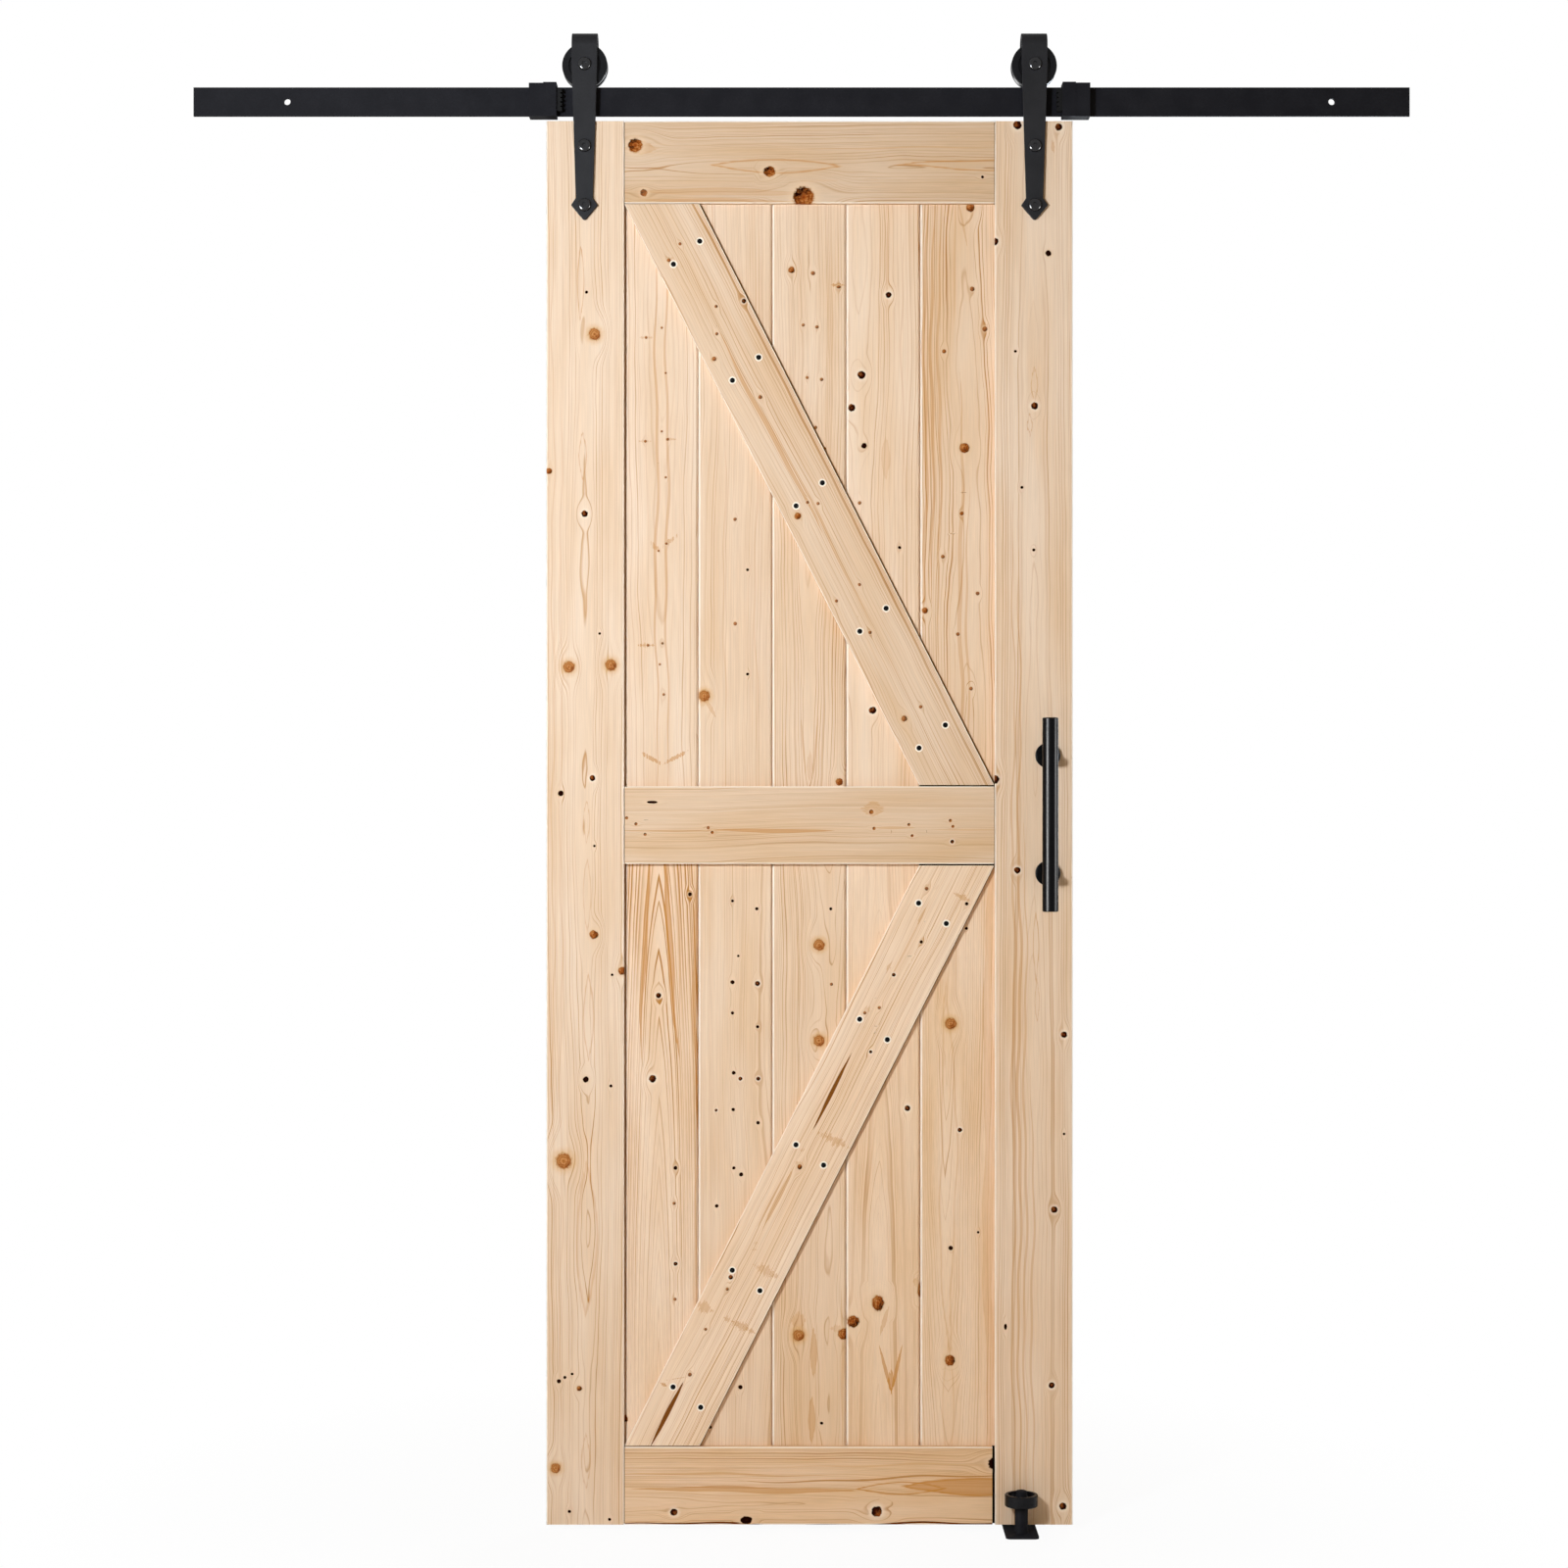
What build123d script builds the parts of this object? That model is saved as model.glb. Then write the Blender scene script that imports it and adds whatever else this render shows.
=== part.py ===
"""Sliding barn door on a flat track: a framed plank door with strap hangers, stops, a pull and a floor guide.

Millimetres, X to the right along the track, Y back towards the wall, Z up.
The origin is on the left wall spacer's wall face, on its ring, level with the bolt hole and left of it.
"""
import os

from build123d import *

# Flat track and the spacers that hold it off the wall.
RAIL_THICK = 6.0
RAIL_HEIGHT = 44.0
HOLE_PITCH = 398.0
RAIL_LEFT_MARGIN = 143.0
RAIL_RIGHT_MARGIN = 119.0
HOLE_D = 10.0
RAIL_EDGE_R = 1.0
SPACER_D = 22.0
SPACER_LENGTH = 38.0

# Grooved wheel and its axle bolt.
WHEEL_R = 34.5
WHEEL_ROOT_R = 31.3
WHEEL_WIDTH = 22.0
GROOVE_SIDE_GAP = 0.5
GROOVE_FLARE = 1.7
WHEEL_ROLL_GAP = 0.2
HUB_R = 11.0
HUB_END_GAP = 0.4
WHEEL_WEB = 14.0
RIM_BAND = 10.0
WHEEL_EDGE = 1.0
AXLE_R = 5.0
RUN_GAP = 0.05

# Strap hanger: a flat bar bent over the wheel, tapered to an arrow head on the door.
STRAP_THICK = 6.0
STRAP_INNER = 28.0
STRAP_TOP_WIDTH = 39.0
STRAP_NECK_WIDTH = 26.0
ARROW_WIDTH = 40.6
STRAP_ABOVE_AXLE = 50.6
BACK_LEG_BELOW_AXLE = 19.5
UPPER_BOLT_DROP = 38.6
LOWER_BOLT_DROP = 128.6
NECK_DROP = 118.0
TIP_DROP = 152.7
TIP_R = 4.0
BARB_R = 1.5
STRAP_EDGE_R = 0.8
STRAP_FROM_EDGE = 58.0

# Button head bolts.
HEAD_R = 10.0
HEAD_H = 5.5
HEAD_ROUND = 4.0
SOCKET_R = 3.6
SOCKET_DEPTH = 3.0
NUT_R = 9.6
NUT_H = 7.0
DOOR_BOLT_R = 4.0
DOOR_NUT_R = 9.0
DOOR_NUT_H = 2.5
BOLT_GAP = 0.05

# Door leaf: two stiles, three rails, planks in their grooves and two braces.
DOOR_WIDTH = 800.0
DOOR_HEIGHT = 2134.0
DOOR_THICK = 35.0
DOOR_TOP_GAP = 10.0
STILE_WIDTH = 118.0
TOP_RAIL_H = 125.0
MIDDLE_RAIL_H = 118.0
BOTTOM_RAIL_H = 118.0
PLANK_COUNT = 5
PLANK_THICK = 14.0
PLANK_RECESS = 10.5
PANEL_GROOVE = 10.0
PANEL_END_GAP = 0.5
TONGUE = 5.0
TONGUE_THICK = 5.0
TONGUE_GAP = 0.2
PLANK_VEE = 1.5
BRACE_THICK = 10.0
BRACE_END = 114.0

# Track stops with rubber bumpers.
STOP_WIDTH = 42.0
STOP_FRONT = 16.0
STOP_FLANGE = 3.2
STOP_LIP = 6.0
STOP_LIP_THICK = 5.0
STOP_STEP = 1.0
STOP_STEP_WIDTH = 20.0
STOP_SLIDE_GAP = 0.3
BUMPER_THICK = 8.2
BUMPER_H = 34.0
BUMPER_INSET = 2.0
BUMPER_RIB_COUNT = 4
BUMPER_RIB = 2.4
STOP_TO_STRAP = 14.8
STOP_EDGE_R = 0.8

# Round bar pull.
PULL_R = 12.0
PULL_LENGTH = 292.0
PULL_POST_PITCH = 179.0
PULL_OFF_FACE = 47.0
PULL_FROM_EDGE = 38.0
PULL_ABOVE_CENTRE = 13.0
PULL_EDGE = 1.2
ROSE_R = 19.0
ROSE_H = 8.0
ROSE_EDGE = 1.5
POST_R = 8.0

# Floor guide: two rollers on posts that keep the door's foot in line.
FLOOR_GAP = 9.0
GUIDE_FROM_EDGE = 80.0
GUIDE_PLATE_WIDTH = 50.0
GUIDE_PLATE_THICK = 3.5
GUIDE_PLATE_MARGIN = 28.0
GUIDE_CORNER_R = 7.0
GUIDE_EDGE_R = 0.8
ROLLER_R = 25.0
ROLLER_H = 17.5
ROLLER_UP = 44.0
ROLLER_DOOR_GAP = 0.4
ROLLER_END_GAP = 0.5
ROLLER_RIM = 5.0
ROLLER_DISH = 7.0
GUIDE_POST_R = 10.0
SPINDLE_R = 5.0
GUIDE_HEAD_R = 8.0
GUIDE_HEAD_H = 12.0
GUIDE_SLOT_WIDTH = 8.5
GUIDE_SLOT_LENGTH = 38.0
FLOOR_SCREW_D = 6.0
FLOOR_SCREW_PITCH = 22.0

# Levels that follow from the sizes above.
RAIL_BACK_Y = -SPACER_LENGTH
RAIL_FRONT_Y = RAIL_BACK_Y - RAIL_THICK
WHEEL_Y = RAIL_BACK_Y - RAIL_THICK / 2
DOOR_FRONT_Y = WHEEL_Y - STRAP_INNER / 2
DOOR_BACK_Y = DOOR_FRONT_Y + DOOR_THICK
STRAP_FRONT_Y = DOOR_FRONT_Y - STRAP_THICK
RAIL_TOP_Z = RAIL_HEIGHT / 2
AXLE_Z = RAIL_TOP_Z + WHEEL_ROLL_GAP + WHEEL_ROOT_R
DOOR_TOP_Z = -RAIL_HEIGHT / 2 - DOOR_TOP_GAP
DOOR_FOOT_Z = DOOR_TOP_Z - DOOR_HEIGHT
FLOOR_Z = DOOR_FOOT_Z - FLOOR_GAP
FIRST_HOLE_X = (SPACER_D + HOLE_D) / 4
DOOR_X = FIRST_HOLE_X + HOLE_PITCH
DOOR_LEFT_X = DOOR_X - DOOR_WIDTH / 2
DOOR_RIGHT_X = DOOR_X + DOOR_WIDTH / 2
PANEL_LEFT_X = DOOR_LEFT_X + STILE_WIDTH
PANEL_RIGHT_X = DOOR_RIGHT_X - STILE_WIDTH
PANEL_H = (DOOR_HEIGHT - TOP_RAIL_H - MIDDLE_RAIL_H - BOTTOM_RAIL_H) / 2
PLANK_FRONT_Y = DOOR_FRONT_Y + PLANK_RECESS
PLANK_BACK_Y = PLANK_FRONT_Y + PLANK_THICK
PLANK_WIDTH = (PANEL_RIGHT_X - PANEL_LEFT_X) / PLANK_COUNT
UPPER_TOP_Z = DOOR_TOP_Z - TOP_RAIL_H
UPPER_FOOT_Z = UPPER_TOP_Z - PANEL_H
LOWER_TOP_Z = UPPER_FOOT_Z - MIDDLE_RAIL_H
LOWER_FOOT_Z = LOWER_TOP_Z - PANEL_H
STRAP_XS = {"left": DOOR_LEFT_X + STRAP_FROM_EDGE, "right": DOOR_RIGHT_X - STRAP_FROM_EDGE}
BOLT_ZS = {"upper": DOOR_TOP_Z - UPPER_BOLT_DROP, "lower": DOOR_TOP_Z - LOWER_BOLT_DROP}

parts = {}


def block(x, y, z):
    """A box from its low and high limits on each axis."""
    size = Box(x[1] - x[0], y[1] - y[0], z[1] - z[0])
    return Pos((x[0] + x[1]) / 2, (y[0] + y[1]) / 2, (z[0] + z[1]) / 2) * size


def plate(points, y):
    """A flat plate from its outline seen from the front, as (x, z) points, between two depths."""
    face = make_face(Polyline(*points, close=True))
    return Pos(0, y[1], 0) * (Rot(90, 0, 0) * extrude(face, y[1] - y[0]))


def turned(profile):
    """A body turned about Z from its half section, as (radius, height) points."""
    return revolve(Rot(90, 0, 0) * make_face(Polyline(*profile, close=True)), Axis.Z)


def along_y(body, x, y, z):
    """A body made about Z laid over so that its top faces the front, then placed."""
    return Pos(x, y, z) * (Rot(90, 0, 0) * body)


def bore_y(radius, x, y, z):
    """The solid of a round hole through two depths."""
    length = y[1] - y[0]
    return Pos(x, (y[0] + y[1]) / 2, z) * (Rot(90, 0, 0) * Cylinder(radius, length))


def button_head(radius, height, rounding):
    """A domed bolt head with a hexagon socket, its seat at zero height."""
    head = Pos(0, 0, height / 2) * Cylinder(radius, height)
    head = fillet(head.edges().group_by(Axis.Z)[-1], rounding)
    socket = extrude(RegularPolygon(SOCKET_R, 6), SOCKET_DEPTH)
    return head - Pos(0, 0, height - SOCKET_DEPTH) * socket


def make_track():
    """The flat bar with its bolt holes, and the wall spacers behind the inner pair of holes."""
    hole_xs = [FIRST_HOLE_X + step * HOLE_PITCH for step in (-1, 0, 2, 3)]
    x = (hole_xs[0] - RAIL_LEFT_MARGIN, hole_xs[-1] + RAIL_RIGHT_MARGIN)
    y = (RAIL_FRONT_Y, RAIL_BACK_Y)
    rail = block(x, y, (-RAIL_HEIGHT / 2, RAIL_HEIGHT / 2))
    rail = fillet(rail.edges().filter_by(Axis.X) + rail.edges().filter_by(Axis.Z), RAIL_EDGE_R)
    for hole_x in hole_xs:
        rail -= bore_y(HOLE_D / 2, hole_x, y, 0)
    parts["track_rail"] = rail
    for side, spacer_x in (("left", hole_xs[1]), ("right", hole_xs[2])):
        tube = Cylinder(SPACER_D / 2, SPACER_LENGTH) - Cylinder(HOLE_D / 2, SPACER_LENGTH)
        parts[side + "_wall_spacer"] = along_y(tube, spacer_x, -SPACER_LENGTH / 2, 0)


def make_stop(side, sign, slide_gap):
    """A clamp around the track with a ribbed bumper on the side that faces the door."""
    inner_x = STRAP_XS[side] + sign * (STRAP_TOP_WIDTH / 2 + STOP_TO_STRAP + BUMPER_THICK)
    step_x = inner_x + sign * STOP_STEP_WIDTH
    outer_x = inner_x + sign * STOP_WIDTH
    whole = (min(inner_x, outer_x), max(inner_x, outer_x))
    near = (min(inner_x, step_x), max(inner_x, step_x))
    front_y = RAIL_FRONT_Y - STOP_FRONT
    back_y = RAIL_BACK_Y + slide_gap + STOP_LIP_THICK
    half = RAIL_HEIGHT / 2 + slide_gap
    body = block(whole, (front_y, back_y), (-half - STOP_FLANGE, half + STOP_FLANGE))
    body += block(near, (front_y - STOP_STEP, back_y), (-half - STOP_FLANGE, half + STOP_FLANGE + STOP_STEP))
    body -= block(whole, (RAIL_FRONT_Y - slide_gap, RAIL_BACK_Y + slide_gap), (-half, half))
    body -= block(whole, (RAIL_BACK_Y, back_y), (-half + STOP_LIP, half - STOP_LIP))
    uprights = body.edges().filter_by(Axis.Z).filter_by(lambda edge: edge.center().Y < front_y + STOP_STEP)
    corners = uprights.filter_by(lambda edge: abs(edge.center().X - step_x) > STOP_STEP)
    body = fillet(corners, STOP_EDGE_R)
    parts[side + "_stop_clamp"] = body
    tip_x = inner_x - sign * BUMPER_THICK
    rib_x = tip_x + sign * BUMPER_RIB
    y = (front_y + BUMPER_INSET, RAIL_FRONT_Y - BUMPER_INSET)
    bumper = block((min(inner_x, tip_x), max(inner_x, tip_x)), y, (-BUMPER_H / 2, BUMPER_H / 2))
    pitch = BUMPER_H / (BUMPER_RIB_COUNT + 1)
    for index in range(BUMPER_RIB_COUNT):
        rib_z = (index - (BUMPER_RIB_COUNT - 1) / 2) * pitch
        rib = (rib_z - BUMPER_RIB / 2, rib_z + BUMPER_RIB / 2)
        bumper -= block((min(tip_x, rib_x), max(tip_x, rib_x)), y, rib)
    parts[side + "_stop_bumper"] = bumper


def make_stile(side, x, groove_x, strap_x):
    """An upright of the frame, grooved along its inner edge and drilled for the hanger bolts."""
    y = (DOOR_FRONT_Y, DOOR_BACK_Y)
    stile = block(x, y, (DOOR_FOOT_Z, DOOR_TOP_Z))
    stile -= block(groove_x, (PLANK_FRONT_Y, PLANK_BACK_Y), (DOOR_FOOT_Z, DOOR_TOP_Z))
    for bolt_z in BOLT_ZS.values():
        stile -= bore_y(DOOR_BOLT_R + BOLT_GAP, strap_x, y, bolt_z)
        stile -= bore_y(DOOR_NUT_R + BOLT_GAP, strap_x, (DOOR_BACK_Y - DOOR_NUT_H, DOOR_BACK_Y), bolt_z)
    parts[side + "_stile"] = stile


def make_frame_rail(name, z, grooved_top, grooved_foot):
    """A cross rail with a stub tenon at each end and a groove along each edge that meets planks."""
    rail = block((PANEL_LEFT_X, PANEL_RIGHT_X), (DOOR_FRONT_Y, DOOR_BACK_Y), z)
    groove_y = (PLANK_FRONT_Y, PLANK_BACK_Y)
    tenon_x = (PANEL_LEFT_X - PANEL_GROOVE + PANEL_END_GAP, PANEL_RIGHT_X + PANEL_GROOVE - PANEL_END_GAP)
    rail += block(tenon_x, groove_y, (z[0] + PANEL_GROOVE * grooved_foot, z[1] - PANEL_GROOVE * grooved_top))
    if grooved_top:
        rail -= block((PANEL_LEFT_X, PANEL_RIGHT_X), groove_y, (z[1] - PANEL_GROOVE, z[1]))
    if grooved_foot:
        rail -= block((PANEL_LEFT_X, PANEL_RIGHT_X), groove_y, (z[0], z[0] + PANEL_GROOVE))
    parts[name] = rail


def make_plank(name, index, z):
    """A tongued and grooved plank with bevelled front edges, its ends and outer sides let into the frame."""
    first = index == 0
    last = index == PLANK_COUNT - 1
    left = PANEL_LEFT_X + index * PLANK_WIDTH
    right = left + PLANK_WIDTH
    reach = PANEL_GROOVE - PANEL_END_GAP
    body_left = left - reach if first else left
    body_right = right + reach if last else right
    low = z[0] - reach
    high = z[1] + reach
    front = PLANK_FRONT_Y
    back = PLANK_BACK_Y
    middle = (front + back) / 2
    half = TONGUE_THICK / 2
    section = []
    if first:
        section += [(body_left, front), (body_left, back)]
    else:
        groove = TONGUE + TONGUE_GAP
        section += [(left + PLANK_VEE, front), (left, front + PLANK_VEE)]
        section += [(left, middle - half - TONGUE_GAP), (left + groove, middle - half - TONGUE_GAP)]
        section += [(left + groove, middle + half + TONGUE_GAP), (left, middle + half + TONGUE_GAP)]
        section += [(left, back)]
    if last:
        section += [(body_right, back), (body_right, front)]
    else:
        section += [(right, back), (right, middle + half), (right + TONGUE, middle + half)]
        section += [(right + TONGUE, middle - half), (right, middle - half)]
        section += [(right, front + PLANK_VEE), (right - PLANK_VEE, front)]
    face = make_face(Polyline(*section, close=True))
    parts[name] = Pos(0, 0, low) * extrude(face, high - low)


def make_brace(name, top_left_x, foot_left_x, z):
    """A diagonal board on the planks, cut level at both ends to sit between two rails."""
    points = [(top_left_x, z[1]), (top_left_x + BRACE_END, z[1])]
    points += [(foot_left_x + BRACE_END, z[0]), (foot_left_x, z[0])]
    parts[name] = plate(points, (PLANK_FRONT_Y - BRACE_THICK, PLANK_FRONT_Y))


def make_door():
    """The door leaf: frame, planks and braces."""
    left_groove = (PANEL_LEFT_X - PANEL_GROOVE, PANEL_LEFT_X)
    right_groove = (PANEL_RIGHT_X, PANEL_RIGHT_X + PANEL_GROOVE)
    make_stile("left", (DOOR_LEFT_X, PANEL_LEFT_X), left_groove, STRAP_XS["left"])
    make_stile("right", (PANEL_RIGHT_X, DOOR_RIGHT_X), right_groove, STRAP_XS["right"])
    make_frame_rail("top_rail", (UPPER_TOP_Z, DOOR_TOP_Z), False, True)
    make_frame_rail("middle_rail", (LOWER_TOP_Z, UPPER_FOOT_Z), True, True)
    make_frame_rail("bottom_rail", (DOOR_FOOT_Z, LOWER_FOOT_Z), True, False)
    for index in range(PLANK_COUNT):
        make_plank(f"upper_plank_{index + 1}", index, (UPPER_FOOT_Z, UPPER_TOP_Z))
        make_plank(f"lower_plank_{index + 1}", index, (LOWER_FOOT_Z, LOWER_TOP_Z))
    far_x = PANEL_RIGHT_X - BRACE_END
    make_brace("upper_brace", PANEL_LEFT_X, far_x, (UPPER_FOOT_Z, UPPER_TOP_Z))
    make_brace("lower_brace", far_x, PANEL_LEFT_X, (LOWER_FOOT_Z, LOWER_TOP_Z))


def make_strap(side, x):
    """A flat bar over the wheel: a tapered front leg with an arrow head, a round bend and a short back leg."""
    outer_r = STRAP_INNER / 2 + STRAP_THICK
    bend_z = AXLE_Z + STRAP_ABOVE_AXLE - outer_r
    top = STRAP_TOP_WIDTH / 2
    neck = STRAP_NECK_WIDTH / 2
    barb = ARROW_WIDTH / 2
    barb_z = BOLT_ZS["lower"]
    neck_z = DOOR_TOP_Z - NECK_DROP
    tip_z = DOOR_TOP_Z - TIP_DROP
    right_side = [(top, bend_z), (top, AXLE_Z), (neck, neck_z), (barb, barb_z)]
    outline = right_side + [(0, tip_z)] + [(-across, up) for across, up in reversed(right_side)]
    leg = plate([(x + across, up) for across, up in outline], (STRAP_FRONT_Y, DOOR_FRONT_Y))
    uprights = leg.edges().filter_by(Axis.Y)
    tip = uprights.sort_by(Axis.Z)[0]
    leg = fillet(tip, TIP_R)
    barbs = leg.edges().filter_by(Axis.Y).filter_by(lambda edge: abs(edge.center().Z - barb_z) < 0.5)
    leg = fillet(barbs, BARB_R)
    ring = Cylinder(outer_r, STRAP_TOP_WIDTH) - Cylinder(STRAP_INNER / 2, STRAP_TOP_WIDTH)
    bend = Pos(x, WHEEL_Y, bend_z) * (Rot(0, 90, 0) * ring)
    bend -= block((x - top, x + top), (WHEEL_Y - outer_r, WHEEL_Y + outer_r), (bend_z - outer_r, bend_z))
    back_y = (WHEEL_Y + STRAP_INNER / 2, WHEEL_Y + outer_r)
    back = block((x - top, x + top), back_y, (AXLE_Z, bend_z))
    foot = block((x - top, x + top), back_y, (AXLE_Z - BACK_LEG_BELOW_AXLE, AXLE_Z))
    foot = fillet(foot.edges().filter_by(Axis.Y).group_by(Axis.Z)[0], top * 0.8)
    strap = leg + bend + back + foot
    front = strap.edges().filter_by(lambda edge: abs(edge.bounding_box().max.Y - STRAP_FRONT_Y) < 0.01)
    over = strap.edges().filter_by(lambda edge: edge.bounding_box().max.Z > bend_z + outer_r - 0.01)
    strap = fillet(front + over, STRAP_EDGE_R)
    strap -= bore_y(AXLE_R + BOLT_GAP, x, (STRAP_FRONT_Y, back_y[1]), AXLE_Z)
    for bolt_z in BOLT_ZS.values():
        strap -= bore_y(DOOR_BOLT_R + BOLT_GAP, x, (STRAP_FRONT_Y, DOOR_FRONT_Y), bolt_z)
    parts[side + "_hanger_strap"] = strap


def make_wheel(side, x):
    """A wheel turned with a groove that straddles the track, dished sides and a hub between the strap's legs."""
    hub = STRAP_INNER / 2 - HUB_END_GAP
    groove = RAIL_THICK / 2 + GROOVE_SIDE_GAP
    half = WHEEL_WIDTH / 2
    web = WHEEL_WEB / 2
    rim = WHEEL_R - RIM_BAND
    upper = [(WHEEL_ROOT_R, groove), (WHEEL_R, groove + GROOVE_FLARE), (WHEEL_R, half - WHEEL_EDGE)]
    upper += [(WHEEL_R - WHEEL_EDGE, half), (rim, half), (rim, web), (HUB_R, web), (HUB_R, hub)]
    upper += [(AXLE_R + RUN_GAP, hub)]
    profile = upper + [(radius, -height) for radius, height in reversed(upper)]
    parts[side + "_wheel"] = along_y(turned(profile), x, WHEEL_Y, AXLE_Z)


def make_axle(side, x):
    """The wheel's bolt through both legs of the strap, with its nut behind."""
    span = STRAP_INNER + 2 * STRAP_THICK
    bolt = button_head(HEAD_R, HEAD_H, HEAD_ROUND)
    bolt += Pos(0, 0, -(span + NUT_H) / 2) * Cylinder(AXLE_R, span + NUT_H)
    bolt += Pos(0, 0, -span - NUT_H) * extrude(RegularPolygon(NUT_R, 6), NUT_H)
    parts[side + "_axle_bolt"] = along_y(bolt, x, STRAP_FRONT_Y, AXLE_Z)


def make_door_bolt(name, x, z):
    """A bolt through the strap and the stile, with a flush sleeve nut let into the back."""
    span = STRAP_THICK + DOOR_THICK
    bolt = button_head(HEAD_R, HEAD_H, HEAD_ROUND)
    bolt += Pos(0, 0, -span / 2) * Cylinder(DOOR_BOLT_R, span)
    bolt += Pos(0, 0, -span + DOOR_NUT_H / 2) * Cylinder(DOOR_NUT_R, DOOR_NUT_H)
    parts[name] = along_y(bolt, x, STRAP_FRONT_Y, z)


def make_hangers():
    """Both hangers: strap, wheel, axle bolt and two door bolts each."""
    for side, x in STRAP_XS.items():
        make_strap(side, x)
        make_wheel(side, x)
        make_axle(side, x)
        for level, z in BOLT_ZS.items():
            make_door_bolt(f"{side}_{level}_hanger_bolt", x, z)


def make_pull():
    """A straight round bar on two posts, each with a round rose against the stile."""
    x = DOOR_RIGHT_X - PULL_FROM_EDGE
    y = DOOR_FRONT_Y - PULL_OFF_FACE
    z = (DOOR_TOP_Z + DOOR_FOOT_Z) / 2 + PULL_ABOVE_CENTRE
    bar = Cylinder(PULL_R, PULL_LENGTH)
    bar = chamfer(bar.edges().filter_by(GeomType.CIRCLE), PULL_EDGE)
    parts["pull_bar"] = Pos(x, y, z) * bar
    for level, sign in (("upper", 1), ("lower", -1)):
        post_z = z + sign * PULL_POST_PITCH / 2
        rose = Pos(0, 0, ROSE_H / 2) * Cylinder(ROSE_R, ROSE_H)
        rose = fillet(rose.edges().group_by(Axis.Z)[-1], ROSE_EDGE)
        rose += Pos(0, 0, PULL_OFF_FACE / 2) * Cylinder(POST_R, PULL_OFF_FACE)
        post = along_y(rose, x, DOOR_FRONT_Y, post_z)
        parts[f"{level}_pull_post"] = post - Pos(x, y, post_z) * Cylinder(PULL_R, PULL_LENGTH)


def make_floor_guide():
    """A floor plate with two posts, each carrying a dished roller that runs along one face of the door."""
    x = DOOR_RIGHT_X - GUIDE_FROM_EDGE
    reach = ROLLER_R + ROLLER_DOOR_GAP
    roller_ys = {"front": DOOR_FRONT_Y - reach, "back": DOOR_BACK_Y + reach}
    plate_y = (roller_ys["front"] - GUIDE_PLATE_MARGIN, roller_ys["back"] + GUIDE_PLATE_MARGIN)
    middle_y = (plate_y[0] + plate_y[1]) / 2
    outline = RectangleRounded(GUIDE_PLATE_WIDTH, plate_y[1] - plate_y[0], GUIDE_CORNER_R)
    base = extrude(outline, GUIDE_PLATE_THICK)
    base = fillet(base.edges().group_by(Axis.Z)[-1], GUIDE_EDGE_R)
    slot = extrude(SlotOverall(GUIDE_SLOT_LENGTH, GUIDE_SLOT_WIDTH, rotation=90), GUIDE_PLATE_THICK)
    for roller_y in roller_ys.values():
        base -= Pos(0, roller_y - middle_y, 0) * slot
    for sign in (-1, 1):
        screw = Cylinder(FLOOR_SCREW_D / 2, GUIDE_PLATE_THICK)
        base -= Pos(0, sign * FLOOR_SCREW_PITCH / 2, GUIDE_PLATE_THICK / 2) * screw
    parts["floor_guide_plate"] = Pos(x, middle_y, FLOOR_Z) * base
    roller_z = FLOOR_Z + ROLLER_UP
    post_foot = FLOOR_Z + GUIDE_PLATE_THICK
    post_top = roller_z - ROLLER_END_GAP
    floor_z = ROLLER_H - ROLLER_DISH
    for place, roller_y in roller_ys.items():
        seat = roller_z + floor_z + ROLLER_END_GAP
        post = Pos(0, 0, (post_foot + post_top) / 2) * Cylinder(GUIDE_POST_R, post_top - post_foot)
        post += Pos(0, 0, (post_top + seat) / 2) * Cylinder(SPINDLE_R, seat - post_top)
        head = Pos(0, 0, GUIDE_HEAD_H / 2) * Cylinder(GUIDE_HEAD_R, GUIDE_HEAD_H)
        head = fillet(head.edges().group_by(Axis.Z)[-1], ROSE_EDGE)
        post += Pos(0, 0, seat) * head
        parts[f"{place}_guide_post"] = Pos(x, roller_y, 0) * post
        wall = ROLLER_R - ROLLER_RIM
        profile = [(SPINDLE_R + RUN_GAP, 0), (ROLLER_R - 1, 0), (ROLLER_R, 1), (ROLLER_R, ROLLER_H - 1)]
        profile += [(ROLLER_R - 1, ROLLER_H), (wall, ROLLER_H), (wall, floor_z), (SPINDLE_R + RUN_GAP, floor_z)]
        parts[f"{place}_guide_roller"] = Pos(x, roller_y, roller_z) * turned(profile)


make_track()
make_stop("left", -1, 0.0)
make_stop("right", 1, STOP_SLIDE_GAP)
make_door()
make_hangers()
make_pull()
make_floor_guide()

os.makedirs("parts", exist_ok=True)
for name, solid in parts.items():
    export_step(solid, f"parts/{name}.step")
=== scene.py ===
"""Sliding barn door: planed knotty spruce boards and black hardware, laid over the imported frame.

Boards are worked out in millimetres in their own directions (across, along, depth) and put into the frame in metres.
"""

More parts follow.
